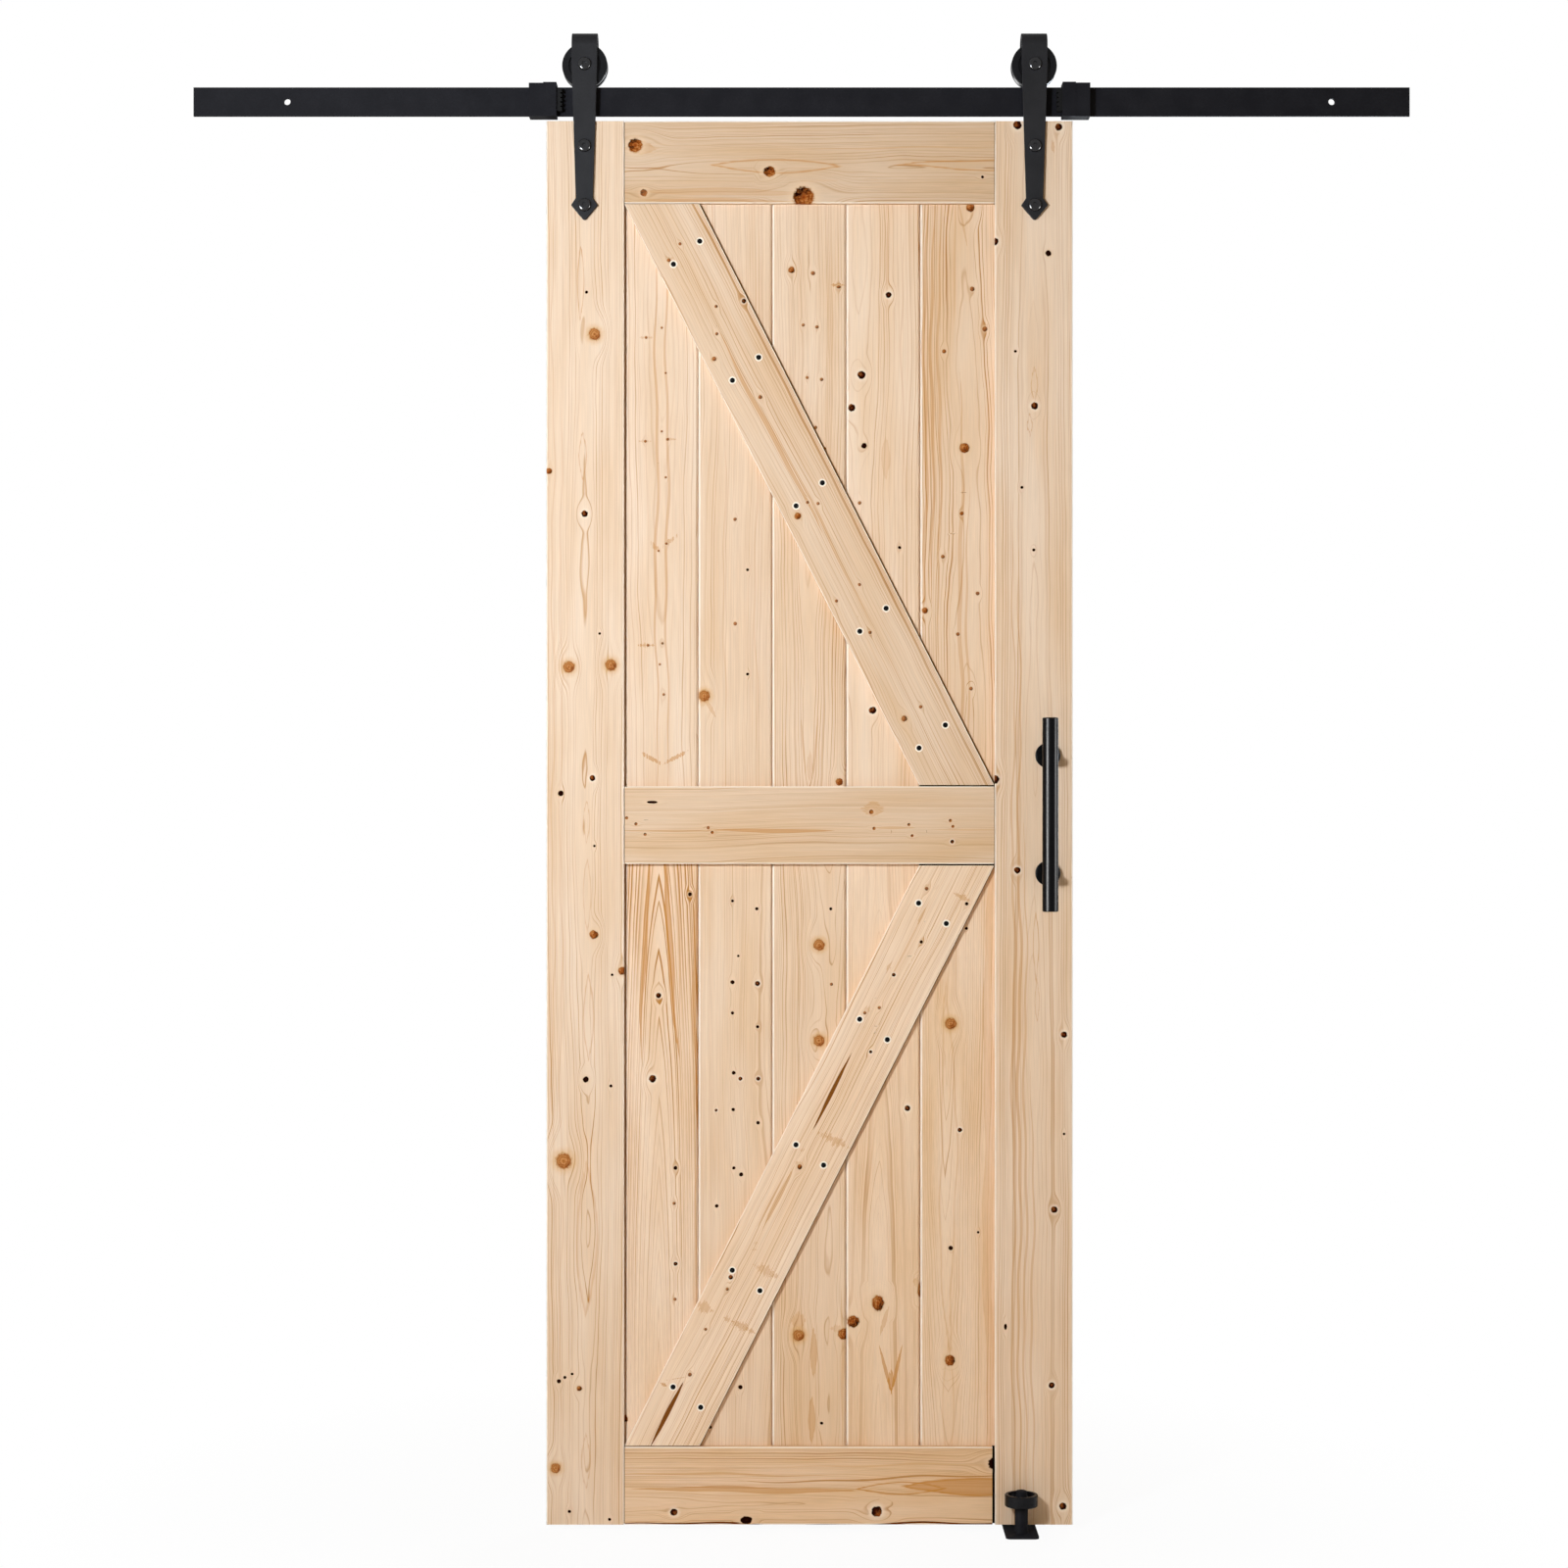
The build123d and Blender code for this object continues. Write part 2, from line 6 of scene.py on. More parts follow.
import bpy
import numpy as np
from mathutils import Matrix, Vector


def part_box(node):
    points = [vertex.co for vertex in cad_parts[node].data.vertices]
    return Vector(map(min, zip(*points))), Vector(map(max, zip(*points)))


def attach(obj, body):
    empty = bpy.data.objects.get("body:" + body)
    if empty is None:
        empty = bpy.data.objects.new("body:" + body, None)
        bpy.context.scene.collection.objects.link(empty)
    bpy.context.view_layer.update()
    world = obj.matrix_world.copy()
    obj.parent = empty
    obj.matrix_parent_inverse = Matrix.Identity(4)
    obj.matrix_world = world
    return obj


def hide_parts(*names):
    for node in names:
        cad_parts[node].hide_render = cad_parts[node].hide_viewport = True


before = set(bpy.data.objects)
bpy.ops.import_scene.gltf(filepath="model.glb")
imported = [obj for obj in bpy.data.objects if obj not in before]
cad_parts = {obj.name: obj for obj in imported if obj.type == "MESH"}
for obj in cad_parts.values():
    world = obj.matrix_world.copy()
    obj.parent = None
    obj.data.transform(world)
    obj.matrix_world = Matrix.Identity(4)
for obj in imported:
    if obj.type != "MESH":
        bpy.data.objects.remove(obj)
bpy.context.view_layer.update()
MM = 0.001
RIGHT, BACK, UP = np.eye(3)

# Viewpoint: level with the middle of the door, as the photograph was taken.
VIEW_RIGHT_OF_ORIGIN = 367.2
VIEW_BEFORE_DOOR = 4500.0
VIEW_HEIGHT = -1039.9
VIEW_FRAME_WIDTH = 2384.0
SENSOR_WIDTH = 36.0

# Boards, in mm.
COLUMN = 9.0
STATION = 9.0
FRAME_EASE = 1.2
PLANK_VEE = 2.4
BRACE_EASE = 0.9
BACK_EASE = 0.8
BACK_VEE = 1.6
BACK_RELIEF = 0.3
JOINT_GAP = 1.0
OPEN_JOINT_GAP = 4.0
BRACE_GAPS = {"upper": (2.0, 1.0), "lower": (1.8, 2.4)}
JOINT_DEPTH = 9.0
PLANK_LAP = 0.1
PLANK_EASE = 1.0
PLANK_SLOT = 1.5
STILE_SLOT = 3.2
SLOT_DEPTH = 6.0
ARRIS_MARGIN = 0.9
PLANK_COUNT = 5
# A painted shadow line on the planks along each brace's right edge: its width, and its strength for each panel.
SHADE_LINE_WIDTH = 2.2
SHADE_LINE_STRENGTHS = {"upper": 1.0, "lower": 0.7}

# Brace screws and the blocks in the guide plate's slots, in mm.
SCREW_R = 3.9
SCREW_PROUD = 0.4
SCREW_RECESS = 0.3
SEAT_WIDTH = 2.2
SEAT_PROUD = 0.2
SLIDE_BLOCK = (8.3, 37.6, 2.8)
SLIDE_BLOCK_LIFT = 0.2
SCREW_ROWS = (85.0, 284.0, 498.0, 712.0, 910.0)
SCREW_PAIR = {"upper": (40.0, 35.0), "lower": (42.0, -31.0)}


def box_mm(node):
    """A node's low and high corners in millimetres."""
    low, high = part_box(node)
    return np.array(low) / MM, np.array(high) / MM


DOOR_FRONT = box_mm("left_stile")[0][1]
PANEL_LEFT = box_mm("left_stile")[1][0]
PANEL_RIGHT = box_mm("right_stile")[0][0]
PANEL_FEET = {"upper": box_mm("middle_rail")[1][2], "lower": box_mm("bottom_rail")[1][2]}
PANEL_TOPS = {"upper": box_mm("top_rail")[0][2], "lower": box_mm("middle_rail")[0][2]}
FLOOR_Z = box_mm("floor_guide_plate")[0][2]
DOOR_FOOT = box_mm("left_stile")[0][2]
DOOR_TOP = box_mm("left_stile")[1][2]
# Painted warm bounce light: the wood grows warmer towards the door's foot, by this much at the floor.
FOOT_WARMTH = 0.2

# What a knot is: (darkness, firmness). Up to 1 it darkens from tan to a dark ring, and then its middle darkens too.
TAN = (0.0, 0.9)
BROWN = (0.4, 1.0)
RED = (0.5, 1.0)
RING = (1.04, 1.0)
DARK = (1.5, 1.0)
BUD = (0.45, 0.9)
TAN_KNOT = ((0.0, "#6E3512"), (0.15, "#BC7638"), (0.36, "#CB8F55"), (0.5, "#A05C26"), (0.68, "#C5854A"),
            (0.86, "#96521F"), (1.0, "#CE9A62"))
DARK_KNOT = ((0.0, "#8E5230"), (0.22, "#602C10"), (0.42, "#3C1405"), (0.65, "#2A0C03"), (0.9, "#1C0602"))

# Knots by board, as seen on the door: (across, along, radius, kind) and, for a long one, its length over its width.
# Stiles and planks are measured from their left edge and foot, rails from their foot and left end, in mm. A brace's are
# measured from the panel's lower left corner.
KNOTS = {
    "left_stile": [
        (61, 1874, 1.8, DARK), (73, 1810, 8.5, TAN), (4, 1602, 4, BROWN), (58, 1537, 4.5, RING), (81, 1355, 1.5, DARK),
        (34, 1304, 8, TAN), (98, 1307, 8, TAN), (70, 1135, 4, RING), (22, 1112, 3.6, DARK), (73, 1032, 1.6, DARK),
        (72, 897, 6, BROWN), (115, 842, 5.5, BROWN), (100, 836, 1.6, DARK), (60, 677, 4, DARK), (98, 667, 2, DARK),
        (26, 553, 11, TAN), (19, 218, 2.8, DARK), (28, 224, 2, DARK), (39, 229, 1.6, DARK), (50, 207, 3.6, BROWN),
        (14, 86, 7, TAN), (35, 20, 2, DARK), (96, 8, 2, DARK)],
    "right_stile": [
        (34, 2128, 6, RING), (97, 2125, 5, RING), (0, 1951, 5, RING), (81, 1933, 3.8, DARK), (31, 1784, 1.8, DARK),
        (60, 1701, 4.8, RING), (41, 1577, 1.8, DARK), (59, 1482, 1.8, DARK), (0, 1133, 6, RING), (34, 995, 4.5, RING),
        (105, 745, 4.4, RING), (105, 594, 1.6, DARK), (90, 479, 4.6, RING), (16, 301, 1.8, DARK, 2.2), (86, 212, 4.2, RING),
        (103, 28, 5, RING)],
    "top_rail": [
        (88, 17, 10, RED), (48, 221, 7, RED, 1.25), (9, 273, 15, RED), (16, 30, 5, BUD), (40, 545, 1.8, DARK)],
    "middle_rail": [
        (94, 43, 1.6, DARK, 4), (70, 4, 2, BUD), (61, 18, 2, BUD), (45, 32, 2, BUD), (55, 128, 2, BUD), (48, 134, 2, BROWN),
        (79, 376, 3, BROWN), (54, 380, 2, BROWN), (60, 433, 2, BROWN), (43, 438, 1.8, BROWN), (66, 496, 2, BROWN),
        (57, 500, 1.8, BROWN), (34, 499, 2.4, RING)],
    "bottom_rail": [
        (19, 76, 5, RING), (7, 186, 5.5, DARK, 1.4), (20, 384, 7.5, RING), (93, 562, 8, DARK)],
    "upper_plank_1": [
        (33, 684, 1.6, BUD), (57, 699, 1.3, BUD), (63, 630, 1.3, BUD), (32, 526, 1.6, BUD), (66, 529, 1.8, BUD),
        (57, 541, 1.3, BUD), (63, 471, 1.3, BUD), (64, 370, 1.6, BUD), (52, 359, 1.3, BUD), (58, 218, 1.6, BUD),
        (36, 215, 1.6, BUD), (54, 186, 1.3, BUD), (60, 140, 1.6, BUD)],
    "upper_plank_2": [
        (56, 407, 2.2, BUD), (75, 330, 1.8, DARK), (56, 248, 2.2, BUD), (75, 171, 1.8, DARK), (9, 138, 8, TAN)],
    "upper_plank_3": [
        (29, 787, 4.5, BROWN), (47, 703, 2, BUD), (62, 782, 2.6, BUD), (101, 761, 3, BUD, 0.7), (68, 700, 2.2, BUD),
        (53, 623, 1.8, BUD), (75, 620, 2.2, BUD), (66, 547, 2, BUD), (80, 515, 1.6, BUD), (102, 7, 5, BROWN)],
    "upper_plank_4": [
        (64, 749, 4, RING), (23, 627, 5.6, RING), (8, 577, 5, RING), (27, 519, 3.6, DARK), (81, 364, 2, DARK),
        (20, 432, 2.2, BUD), (40, 116, 5, RING)],
    "upper_plank_5": [
        (76, 882, 6, BROWN), (79, 758, 3, BUD), (98, 697, 3.4, BUD), (36, 663, 2.6, BROWN), (67, 516, 7, BROWN),
        (63, 416, 2.6, BROWN), (34, 350, 2.4, BUD), (87, 294, 2.4, BUD), (7, 268, 4, BROWN), (57, 232, 2.4, BUD),
        (77, 149, 2.4, BUD)],
    "lower_plank_1": [
        (100, 840, 2.6, DARK), (52, 686, 3.4, RING), (43, 559, 5, RING), (78, 423, 2.5, DARK), (76, 369, 2, BUD),
        (78, 277, 2.6, RING), (77, 223, 2, BUD), (0, 40, 5, BROWN)],
    "lower_plank_2": [
        (52, 830, 1.8, DARK), (89, 818, 2, DARK), (61, 746, 1.5, DARK), (52, 706, 2.6, DARK), (90, 704, 3.4, RING),
        (52, 659, 2, DARK), (90, 638, 2, DARK), (54, 568, 2.4, DARK), (64, 559, 2.6, RING), (91, 559, 2.6, RING),
        (27, 511, 1.8, RING), (53, 512, 2.2, DARK), (91, 492, 2.2, DARK), (54, 423, 2, DARK), (65, 413, 2.6, DARK),
        (28, 365, 2.2, DARK), (64, 89, 2.8, DARK), (18, 28, 2, DARK)],
    "lower_plank_3": [
        (71, 763, 8, TAN), (71, 617, 8, TAN), (89, 818, 2, DARK), (90, 703, 2, BUD), (40, 168, 8, TAN),
        (109, 170, 8, BROWN), (75, 34, 2, DARK)],
    "lower_plank_4": [
        (93, 514, 4, RING), (48, 217, 8.5, BROWN, 1.3), (10, 189, 8.5, RED), (115, 237, 6, BROWN, 2)],
    "lower_plank_5": [
        (46, 643, 8, TAN), (70, 788, 1.8, DARK), (60, 481, 3, RING), (88, 325, 1.6, DARK), (46, 301, 3, DARK),
        (45, 130, 7.5, BROWN)],
    "upper_brace": [
        (85, 825, 2, BUD), (68, 800, 2.4, BUD), (140, 730, 2, BUD), (141, 688, 2, BUD), (137, 650, 3, BUD),
        (182, 738, 3, RING), (207, 592, 2.6, BUD), (279, 432, 2, BUD), (295, 430, 2, BUD), (264, 411, 4.5, BROWN),
        (323, 282, 2, BUD), (358, 307, 2, BUD), (374, 234, 2.2, BUD), (451, 121, 2.2, BUD), (426, 103, 4, BUD),
        (414, 64, 2.2, BUD)],
    "lower_brace": [
        (460, 849, 2.4, BUD), (452, 768, 2, DARK), (521, 826, 2.2, DARK), (410, 718, 2.4, RING), (388, 668, 2, BUD),
        (366, 660, 2, BUD), (375, 601, 2, RING), (267, 426, 3.4, BROWN), (162, 258, 3, RING), (157, 240, 2, BUD),
        (124, 179, 1.8, BUD), (100, 110, 2.6, BUD)],
}

# Streaks by board: (across, along, half width, half length, strength) and, for a slanting one, millimetres across to one
# along. Each is a lens, pointed at both ends. Resin and feathered grain are up to 1 strong; from 1 to 2 a streak darkens
# to an open split; below nought it is a loop of late wood with a clear middle.
STREAKS = {
    "left_stile": [
        (52, 1889, 6, 66, -0.7), (55, 1625, 7, 44, -0.6), (61, 1069, 6, 40, -0.5), (62, 958, 7, 66, -0.4),
        (64, 772, 9, 76, -0.5), (61, 434, 18, 130, -0.4), (60, 96, 8, 50, -0.45), (10, 1200, 1.4, 1100, 0.3),
        (22, 900, 1.4, 1000, 0.25)],
    "right_stile": [
        (28, 760, 1.9, 940, 0.5), (37, 700, 2.2, 880, 0.6), (46, 520, 1.9, 640, 0.5), (62, 880, 5, 62, -0.7),
        (64, 795, 4, 40, -0.6), (57, 330, 1.9, 400, 0.5), (60, 1732, 6, 34, -0.6), (53, 1672, 5, 22, -0.7),
        (88, 2095, 4, 16, 0.5)],
    "top_rail": [
        (57, 232, 12, 112, -0.75), (57, 600, 10, 205, -0.8), (84, 26, 12, 30, 0.35), (17, 150, 6, 150, 0.3),
        (4, 140, 3, 140, 0.5), (84, 420, 1.4, 160, 0.35)],
    "middle_rail": [
        (51, 226, 3.2, 104, 0.8), (50, 70, 1.6, 86, 0.5), (84, 378, 13, 22, 0.45), (55, 408, 2, 42, 0.5),
        (52, 520, 1.4, 60, 0.35)],
    "bottom_rail": [
        (53, 190, 5, 190, 0.8), (55, 422, 11, 76, -1.0), (57, 540, 15, 132, 0.95), (76, 150, 1.6, 190, 0.6),
        (70, 400, 1.5, 250, 1.2, 0.02), (36, 250, 1.4, 260, 0.45), (90, 400, 1.4, 200, 0.4), (76, 530, 1.7, 60, 0.8, 0.1),
        # The last is painted shadow: a dark line along the rail's lower edge, above the floor.
        (0.4, 320, 1.8, 420, 1.9)],
    "upper_plank_1": [
        (49, 450, 2.2, 540, 0.6), (65, 450, 2.2, 540, 0.55), (33, 684, 12, 4, 0.45), (32, 526, 13, 4, 0.45),
        (70, 529, 12, 4, 0.5), (34, 215, 15, 5, 0.8), (42, 42, 8, 14, 0.85, -1.5), (78, 44, 8, 16, 0.85, 1.7),
        (57, 14, 5, 24, 0.85), (48, 364, 6, 12, 0.6, -0.8), (70, 374, 7, 13, 0.65, 1.0)],
    "upper_plank_2": [(40, 300, 1.5, 340, 0.25), (88, 420, 1.5, 460, 0.3), (18, 120, 4, 22, 0.45, -0.55)],
    "upper_plank_3": [
        (100, 764, 15, 5, 0.9), (47, 60, 1.8, 56, 0.5, -0.08), (66, 60, 1.8, 56, 0.5, 0.08), (57, 30, 5, 30, 0.3)],
    "upper_plank_4": [(62, 792, 2, 80, 0.25), (86, 640, 1.4, 240, 0.3), (60, 500, 8, 40, 0.25)],
    "upper_plank_5": [
        (7, 560, 2.8, 400, 0.6), (18, 600, 2.4, 360, 0.65), (29, 560, 2.2, 400, 0.55), (62, 300, 3.4, 360, 0.5),
        (72, 220, 1.9, 270, 0.5), (52, 800, 1.8, 110, 0.4), (98, 700, 8, 14, 0.3), (64, 860, 1.8, 50, 0.45, -0.2)],
    "lower_plank_1": [
        (109, 720, 4, 260, 0.65), (109, 300, 2, 240, 0.35), (31, 760, 3.4, 190, 0.9, 0.034), (69, 770, 4.6, 200, 0.9, -0.08),
        (35, 800, 1.4, 140, 0.6, 0.02), (64, 800, 1.6, 130, 0.6, -0.05), (51, 866, 5, 60, 0.6), (52, 772, 3.5, 34, 0.6),
        (84, 780, 1.6, 150, 0.45, -0.02), (95, 780, 1.6, 150, 0.45)],
    "lower_plank_2": [],
    "lower_plank_3": [
        (63, 141, 6, 46, 0.55), (60, 39, 6, 44, 0.6), (106, 120, 2, 140, 0.45), (40, 190, 13, 20, 0.4),
        (98, 178, 13, 9, 0.4)],
    "lower_plank_4": [
        (60, 114, 2.8, 46, 0.95, -0.26), (76, 114, 2.8, 46, 0.95, 0.23), (68, 98, 6, 24, 0.85), (58, 190, 4, 30, 0.5, 0.3),
        (106, 250, 5, 13, 0.45)],
    "lower_plank_5": [(104, 440, 9, 600, 0.3), (42, 420, 14, 330, -0.35), (42, 60, 10, 110, -0.3)],
    "upper_brace": [
        (223, 538, 3.8, 190, 0.65), (137, 650, 9, 7, 0.5), (207, 592, 7, 7, 0.45), (264, 411, 10, 11, 0.45),
        (300, 400, 2.2, 200, 0.4), (426, 103, 9, 12, 0.5), (70, 802, 7, 6, 0.4)],
    "lower_brace": [
        (316, 539, 3.2, 72, 1.75), (66, 52, 3.6, 66, 1.8), (320, 466, 32, 12, 0.6), (215, 268, 28, 12, 0.5),
        (122, 213, 18, 13, 0.55), (176, 185, 34, 11, 0.65), (235, 380, 3.4, 60, 0.7), (222, 372, 1.8, 50, 0.5),
        (514, 836, 19, 7, 0.65), (452, 806, 3, 20, 0.55), (403, 730, 4, 13, 0.55), (60, 95, 9, 4, 1.0),
        (460, 852, 4, 10, 0.45), (430, 762, 1.6, 90, 0.5), (370, 665, 5, 10, 0.45), (267, 430, 10, 8, 0.45),
        (162, 262, 3, 10, 0.65), (102, 114, 7, 4, 0.55)],
}

# Figure by board: heart's place across and behind the face and how fast it drifts along the board, ring width in mm,
# how strongly the rings show at the foot (or left end) and at the head, how warm the board is, and how pale it is,
# which is partly the board's own tone and partly painted light that evens out the key lamp's fall-off towards the lower
# right.
FIGURE = {
    "left_stile": (62, 46, 0.004, 2.9, 0.85, 0.65, 0.08, 0.99),
    "right_stile": (60, 40, -0.005, 3.2, 0.6, 0.5, 0.15, 1.0),
    "top_rail": (55, 36, 0.02, 3.0, 0.7, 0.6, 0.5, 0.88),
    "middle_rail": (-40, 60, 0.002, 2.1, 0.35, 0.35, 0.44, 0.94),
    "bottom_rail": (30, 24, -0.02, 2.8, 0.6, 0.75, 0.55, 1.04),
    "upper_plank_1": (58, 50, 0.01, 3.2, 0.45, 0.45, 0.05, 1.0),
    "upper_plank_2": (-30, 70, 0.003, 2.6, 0.55, 0.5, 0.2, 1.0),
    "upper_plank_3": (57, 30, 0.02, 3.0, 0.75, 0.5, 0.25, 1.005),
    "upper_plank_4": (20, 60, 0.006, 2.8, 0.5, 0.65, 0.2, 1.04),
    "upper_plank_5": (75, 50, -0.01, 3.0, 0.85, 0.95, 0.4, 1.02),
    "lower_plank_1": (53, 2.5, -0.05, 3.2, 0.15, 1.6, 0.1, 1.05),
    "lower_plank_2": (130, 70, 0.004, 2.6, 0.45, 0.45, 0.24, 1.02),
    "lower_plank_3": (90, 60, 0.01, 2.6, 0.7, 0.75, 0.35, 1.01),
    "lower_plank_4": (50, 20, -0.03, 2.8, 0.5, 0.5, 0.3, 1.07),
    "lower_plank_5": (42, 40, 0.04, 3.0, 0.6, 0.5, 0.35, 1.06),
    "upper_brace": (-30, 60, 0.004, 2.6, 0.6, 0.6, 0.3, 0.97),
    "lower_brace": (-20, 50, -0.004, 2.6, 0.7, 0.7, 0.15, 1.08),
}

# Flow where a board departs from the rest: how far its heart wanders, how much wider its late wood is, how sharp its
# flames are in mm, and how much warmer it grows towards its head, to the right of its left edge.
PLAIN_FLOW = (1.0, 0.0, 6.0, 0.0)
FLOW = {"lower_plank_1": (0.3, 0.25, 18.0, 0.5), "right_stile": (0.6, 0.0, 4.0, 0.0),
        "lower_plank_4": (0.7, 0.0, 8.0, 0.0), "left_stile": (0.8, 0.0, 4.0, 0.0)}
CHANNELS = ("first", "second", "third", "fourth")
KNOT_LIFT = 0.35
KNOT_SPREAD = 0.4
KNOT_BLUSH = (1.0, 0.62, 0.34, 1.0)
ACROSS_REACH = 4.0
ALONG_REACH = 6.5
LONG_REACH = 1.5
STREAK_REACH = 1.1
FRAY_LENGTH = 12.0
AMBER_FROM = 18.0
AMBER_SPREAD = 24.0


def linear(code):
    """An sRGB hex colour as linear RGBA."""
    parts = np.array([int(code[place:place + 2], 16) for place in (1, 3, 5)]) / 255
    low = parts / 12.92
    high = ((parts + 0.055) / 1.055) ** 2.4
    return (*np.where(parts <= 0.04045, low, high).tolist(), 1.0)


def add(tree, kind, inputs=None, **settings):
    """Adds a shader node: settings are its own options, inputs are values to set or sockets to link."""
    node = tree.nodes.new("ShaderNode" + kind)
    for name, value in settings.items():
        setattr(node, name, value)
    for key, value in (inputs or {}).items():
        if isinstance(value, bpy.types.NodeSocket):
            tree.links.new(value, node.inputs[key])
        else:
            node.inputs[key].default_value = value
    return node


def new_material(name):
    """An empty node material and its tree."""
    material = bpy.data.materials.new(name)
    material.use_nodes = True
    material.node_tree.nodes.clear()
    return material, material.node_tree


def set_stops(ramp, stops):
    """Gives a colour ramp its stops, each (place, hex colour), and gives back its colour."""
    elements = ramp.color_ramp.elements
    elements.remove(elements[1])
    elements[0].color = linear(stops[0][1])
    for place, code in stops[1:]:
        elements.new(place).color = linear(code)
    return ramp.outputs[0]


def knotty_spruce():
    """Planed, unfinished spruce: pale cream early wood, thin tan late-wood lines that wander along the board and bend
    round brown knots with darker rims, orange resin streaks, fine fibre and a dry, slightly silky face."""
    material, tree = new_material("knotty_spruce")
    log = add(tree, "Attribute", attribute_name="log_mm").outputs["Vector"]
    figure = add(tree, "SeparateXYZ", {0: add(tree, "Attribute", attribute_name="figure").outputs["Vector"]})
    ring_width, contrast, first_year = figure.outputs
    tone = add(tree, "SeparateXYZ", {0: add(tree, "Attribute", attribute_name="tone").outputs["Vector"]})
    warmth, arris, light = tone.outputs
    flow = add(tree, "SeparateXYZ", {0: add(tree, "Attribute", attribute_name="flow").outputs["Vector"]})
    wander, band, sharp = flow.outputs

    # The tree's own wander: the heart swings a few millimetres over half a metre, and shakes finely over a hand's width.
    slow = add(tree, "VectorMath", {0: log, 1: (0.006, 0.006, 0.0022)}, operation="MULTIPLY").outputs[0]
    swing = add(tree, "TexNoise", {"Vector": slow, "Scale": 1.0, "Detail": 2.0, "Roughness": 0.45}).outputs["Color"]
    swung = add(tree, "VectorMath", {0: swing, 1: (20, 26, 0), 2: (-10, -13, 0)}, operation="MULTIPLY_ADD").outputs[0]
    short = add(tree, "VectorMath", {0: log, 1: (0.05, 0.05, 0.014)}, operation="MULTIPLY").outputs[0]
    shake = add(tree, "TexNoise", {"Vector": short, "Scale": 1.0, "Detail": 1.0}).outputs["Color"]
    shaken = add(tree, "VectorMath", {0: shake, 1: (2.6, 2.6, 0), 2: swung}, operation="MULTIPLY_ADD").outputs[0]
    shaken = add(tree, "VectorMath", {0: shaken, "Scale": wander}, operation="SCALE").outputs[0]
    point = add(tree, "VectorMath", {0: log, 1: shaken}, operation="ADD").outputs[0]

    # Grain bends round firm knots: near one, the place across is drawn to the knot's middle and the rings lift.
    spots = []
    for channel in CHANNELS:
        spot = add(tree, "Attribute", attribute_name="knot_" + channel).outputs["Vector"]
        kind = add(tree, "Attribute", attribute_name="kind_" + channel).outputs["Vector"]
        place = add(tree, "SeparateXYZ", {0: spot})
        flat = add(tree, "VectorMath", {0: spot, 1: (1, 0.6, 0)}, operation="MULTIPLY").outputs[0]
        near = add(tree, "VectorMath", {0: flat}, operation="LENGTH").outputs["Value"]
        hold = add(tree, "MapRange", {"Value": near, "From Min": 0.8, "From Max": ACROSS_REACH, "To Min": 1.0, "To Max": 0.0},
                   interpolation_type="SMOOTHERSTEP").outputs[0]
        push = add(tree, "Math", {0: hold, 1: place.outputs[2]}, operation="MULTIPLY").outputs[0]
        pull = add(tree, "CombineXYZ", {0: place.outputs[0], 1: -KNOT_LIFT}).outputs[0]
        bent = add(tree, "VectorMath", {0: pull, "Scale": push}, operation="SCALE").outputs[0]
        point = add(tree, "VectorMath", {0: point, 1: bent}, operation="SUBTRACT").outputs[0]
        spots.append((spot, kind))

    # Growth rings: distance from the heart over the ring width, unevenly spaced, each ring with its own strength. On a
    # board with sharp flames the distance across counts for more near the heart. The late wood's share of a ring
    # shrinks where the ring lies flat in the face, so that its line stays thin there.
    level = add(tree, "SeparateXYZ", {0: point})
    beside = add(tree, "Math", {0: level.outputs[0]}, operation="ABSOLUTE").outputs[0]
    wider = add(tree, "Math", {0: beside, 1: sharp}, operation="ADD").outputs[0]
    radius = add(tree, "Math", {0: level.outputs[1], 1: 2.0}, operation="POWER").outputs[0]
    radius = add(tree, "Math", {0: beside, 1: wider, 2: radius}, operation="MULTIPLY_ADD").outputs[0]
    radius = add(tree, "Math", {0: radius}, operation="SQRT").outputs[0]
    lean = add(tree, "Math", {0: beside, 1: radius}, operation="DIVIDE").outputs[0]
    rings = add(tree, "Math", {0: radius, 1: ring_width}, operation="DIVIDE").outputs[0]
    rings = add(tree, "Math", {0: rings, 1: first_year}, operation="ADD").outputs[0]
    slot = add(tree, "Math", {0: rings, 1: 0.4}, operation="MULTIPLY").outputs[0]
    crowd = add(tree, "TexNoise", {"W": slot, "Scale": 1.0, "Detail": 1.0}, noise_dimensions="1D").outputs["Fac"]
    rings = add(tree, "Math", {0: crowd, 1: 2.6, 2: rings}, operation="MULTIPLY_ADD").outputs[0]
    year = add(tree, "Math", {0: rings}, operation="FLOOR").outputs[0]
    season = add(tree, "Math", {0: rings}, operation="FRACT").outputs[0]
    begin = add(tree, "Math", {0: lean, 1: -0.55, 2: 0.88}, operation="MULTIPLY_ADD").outputs[0]
    begin = add(tree, "Math", {0: begin, 1: band}, operation="SUBTRACT").outputs[0]
    rise = add(tree, "MapRange", {"Value": season, "From Min": begin, "From Max": 0.96},
               interpolation_type="SMOOTHSTEP").outputs[0]
    drop = add(tree, "MapRange", {"Value": season, "From Min": 0.96, "From Max": 1.0, "To Min": 1.0, "To Max": 0.0}).outputs[0]
    strength = add(tree, "TexWhiteNoise", {"W": year}, noise_dimensions="1D").outputs["Value"]
    strength = add(tree, "Math", {0: strength, 1: 1.4}, operation="POWER").outputs[0]
    strength = add(tree, "MapRange", {"Value": strength, "To Min": 0.25, "To Max": 1.25}).outputs[0]
    zone = add(tree, "VectorMath", {0: log, 1: (0.035, 0.035, 0.0028)}, operation="MULTIPLY").outputs[0]
    zone = add(tree, "TexNoise", {"Vector": zone, "Scale": 1.0, "Detail": 1.0}).outputs["Fac"]
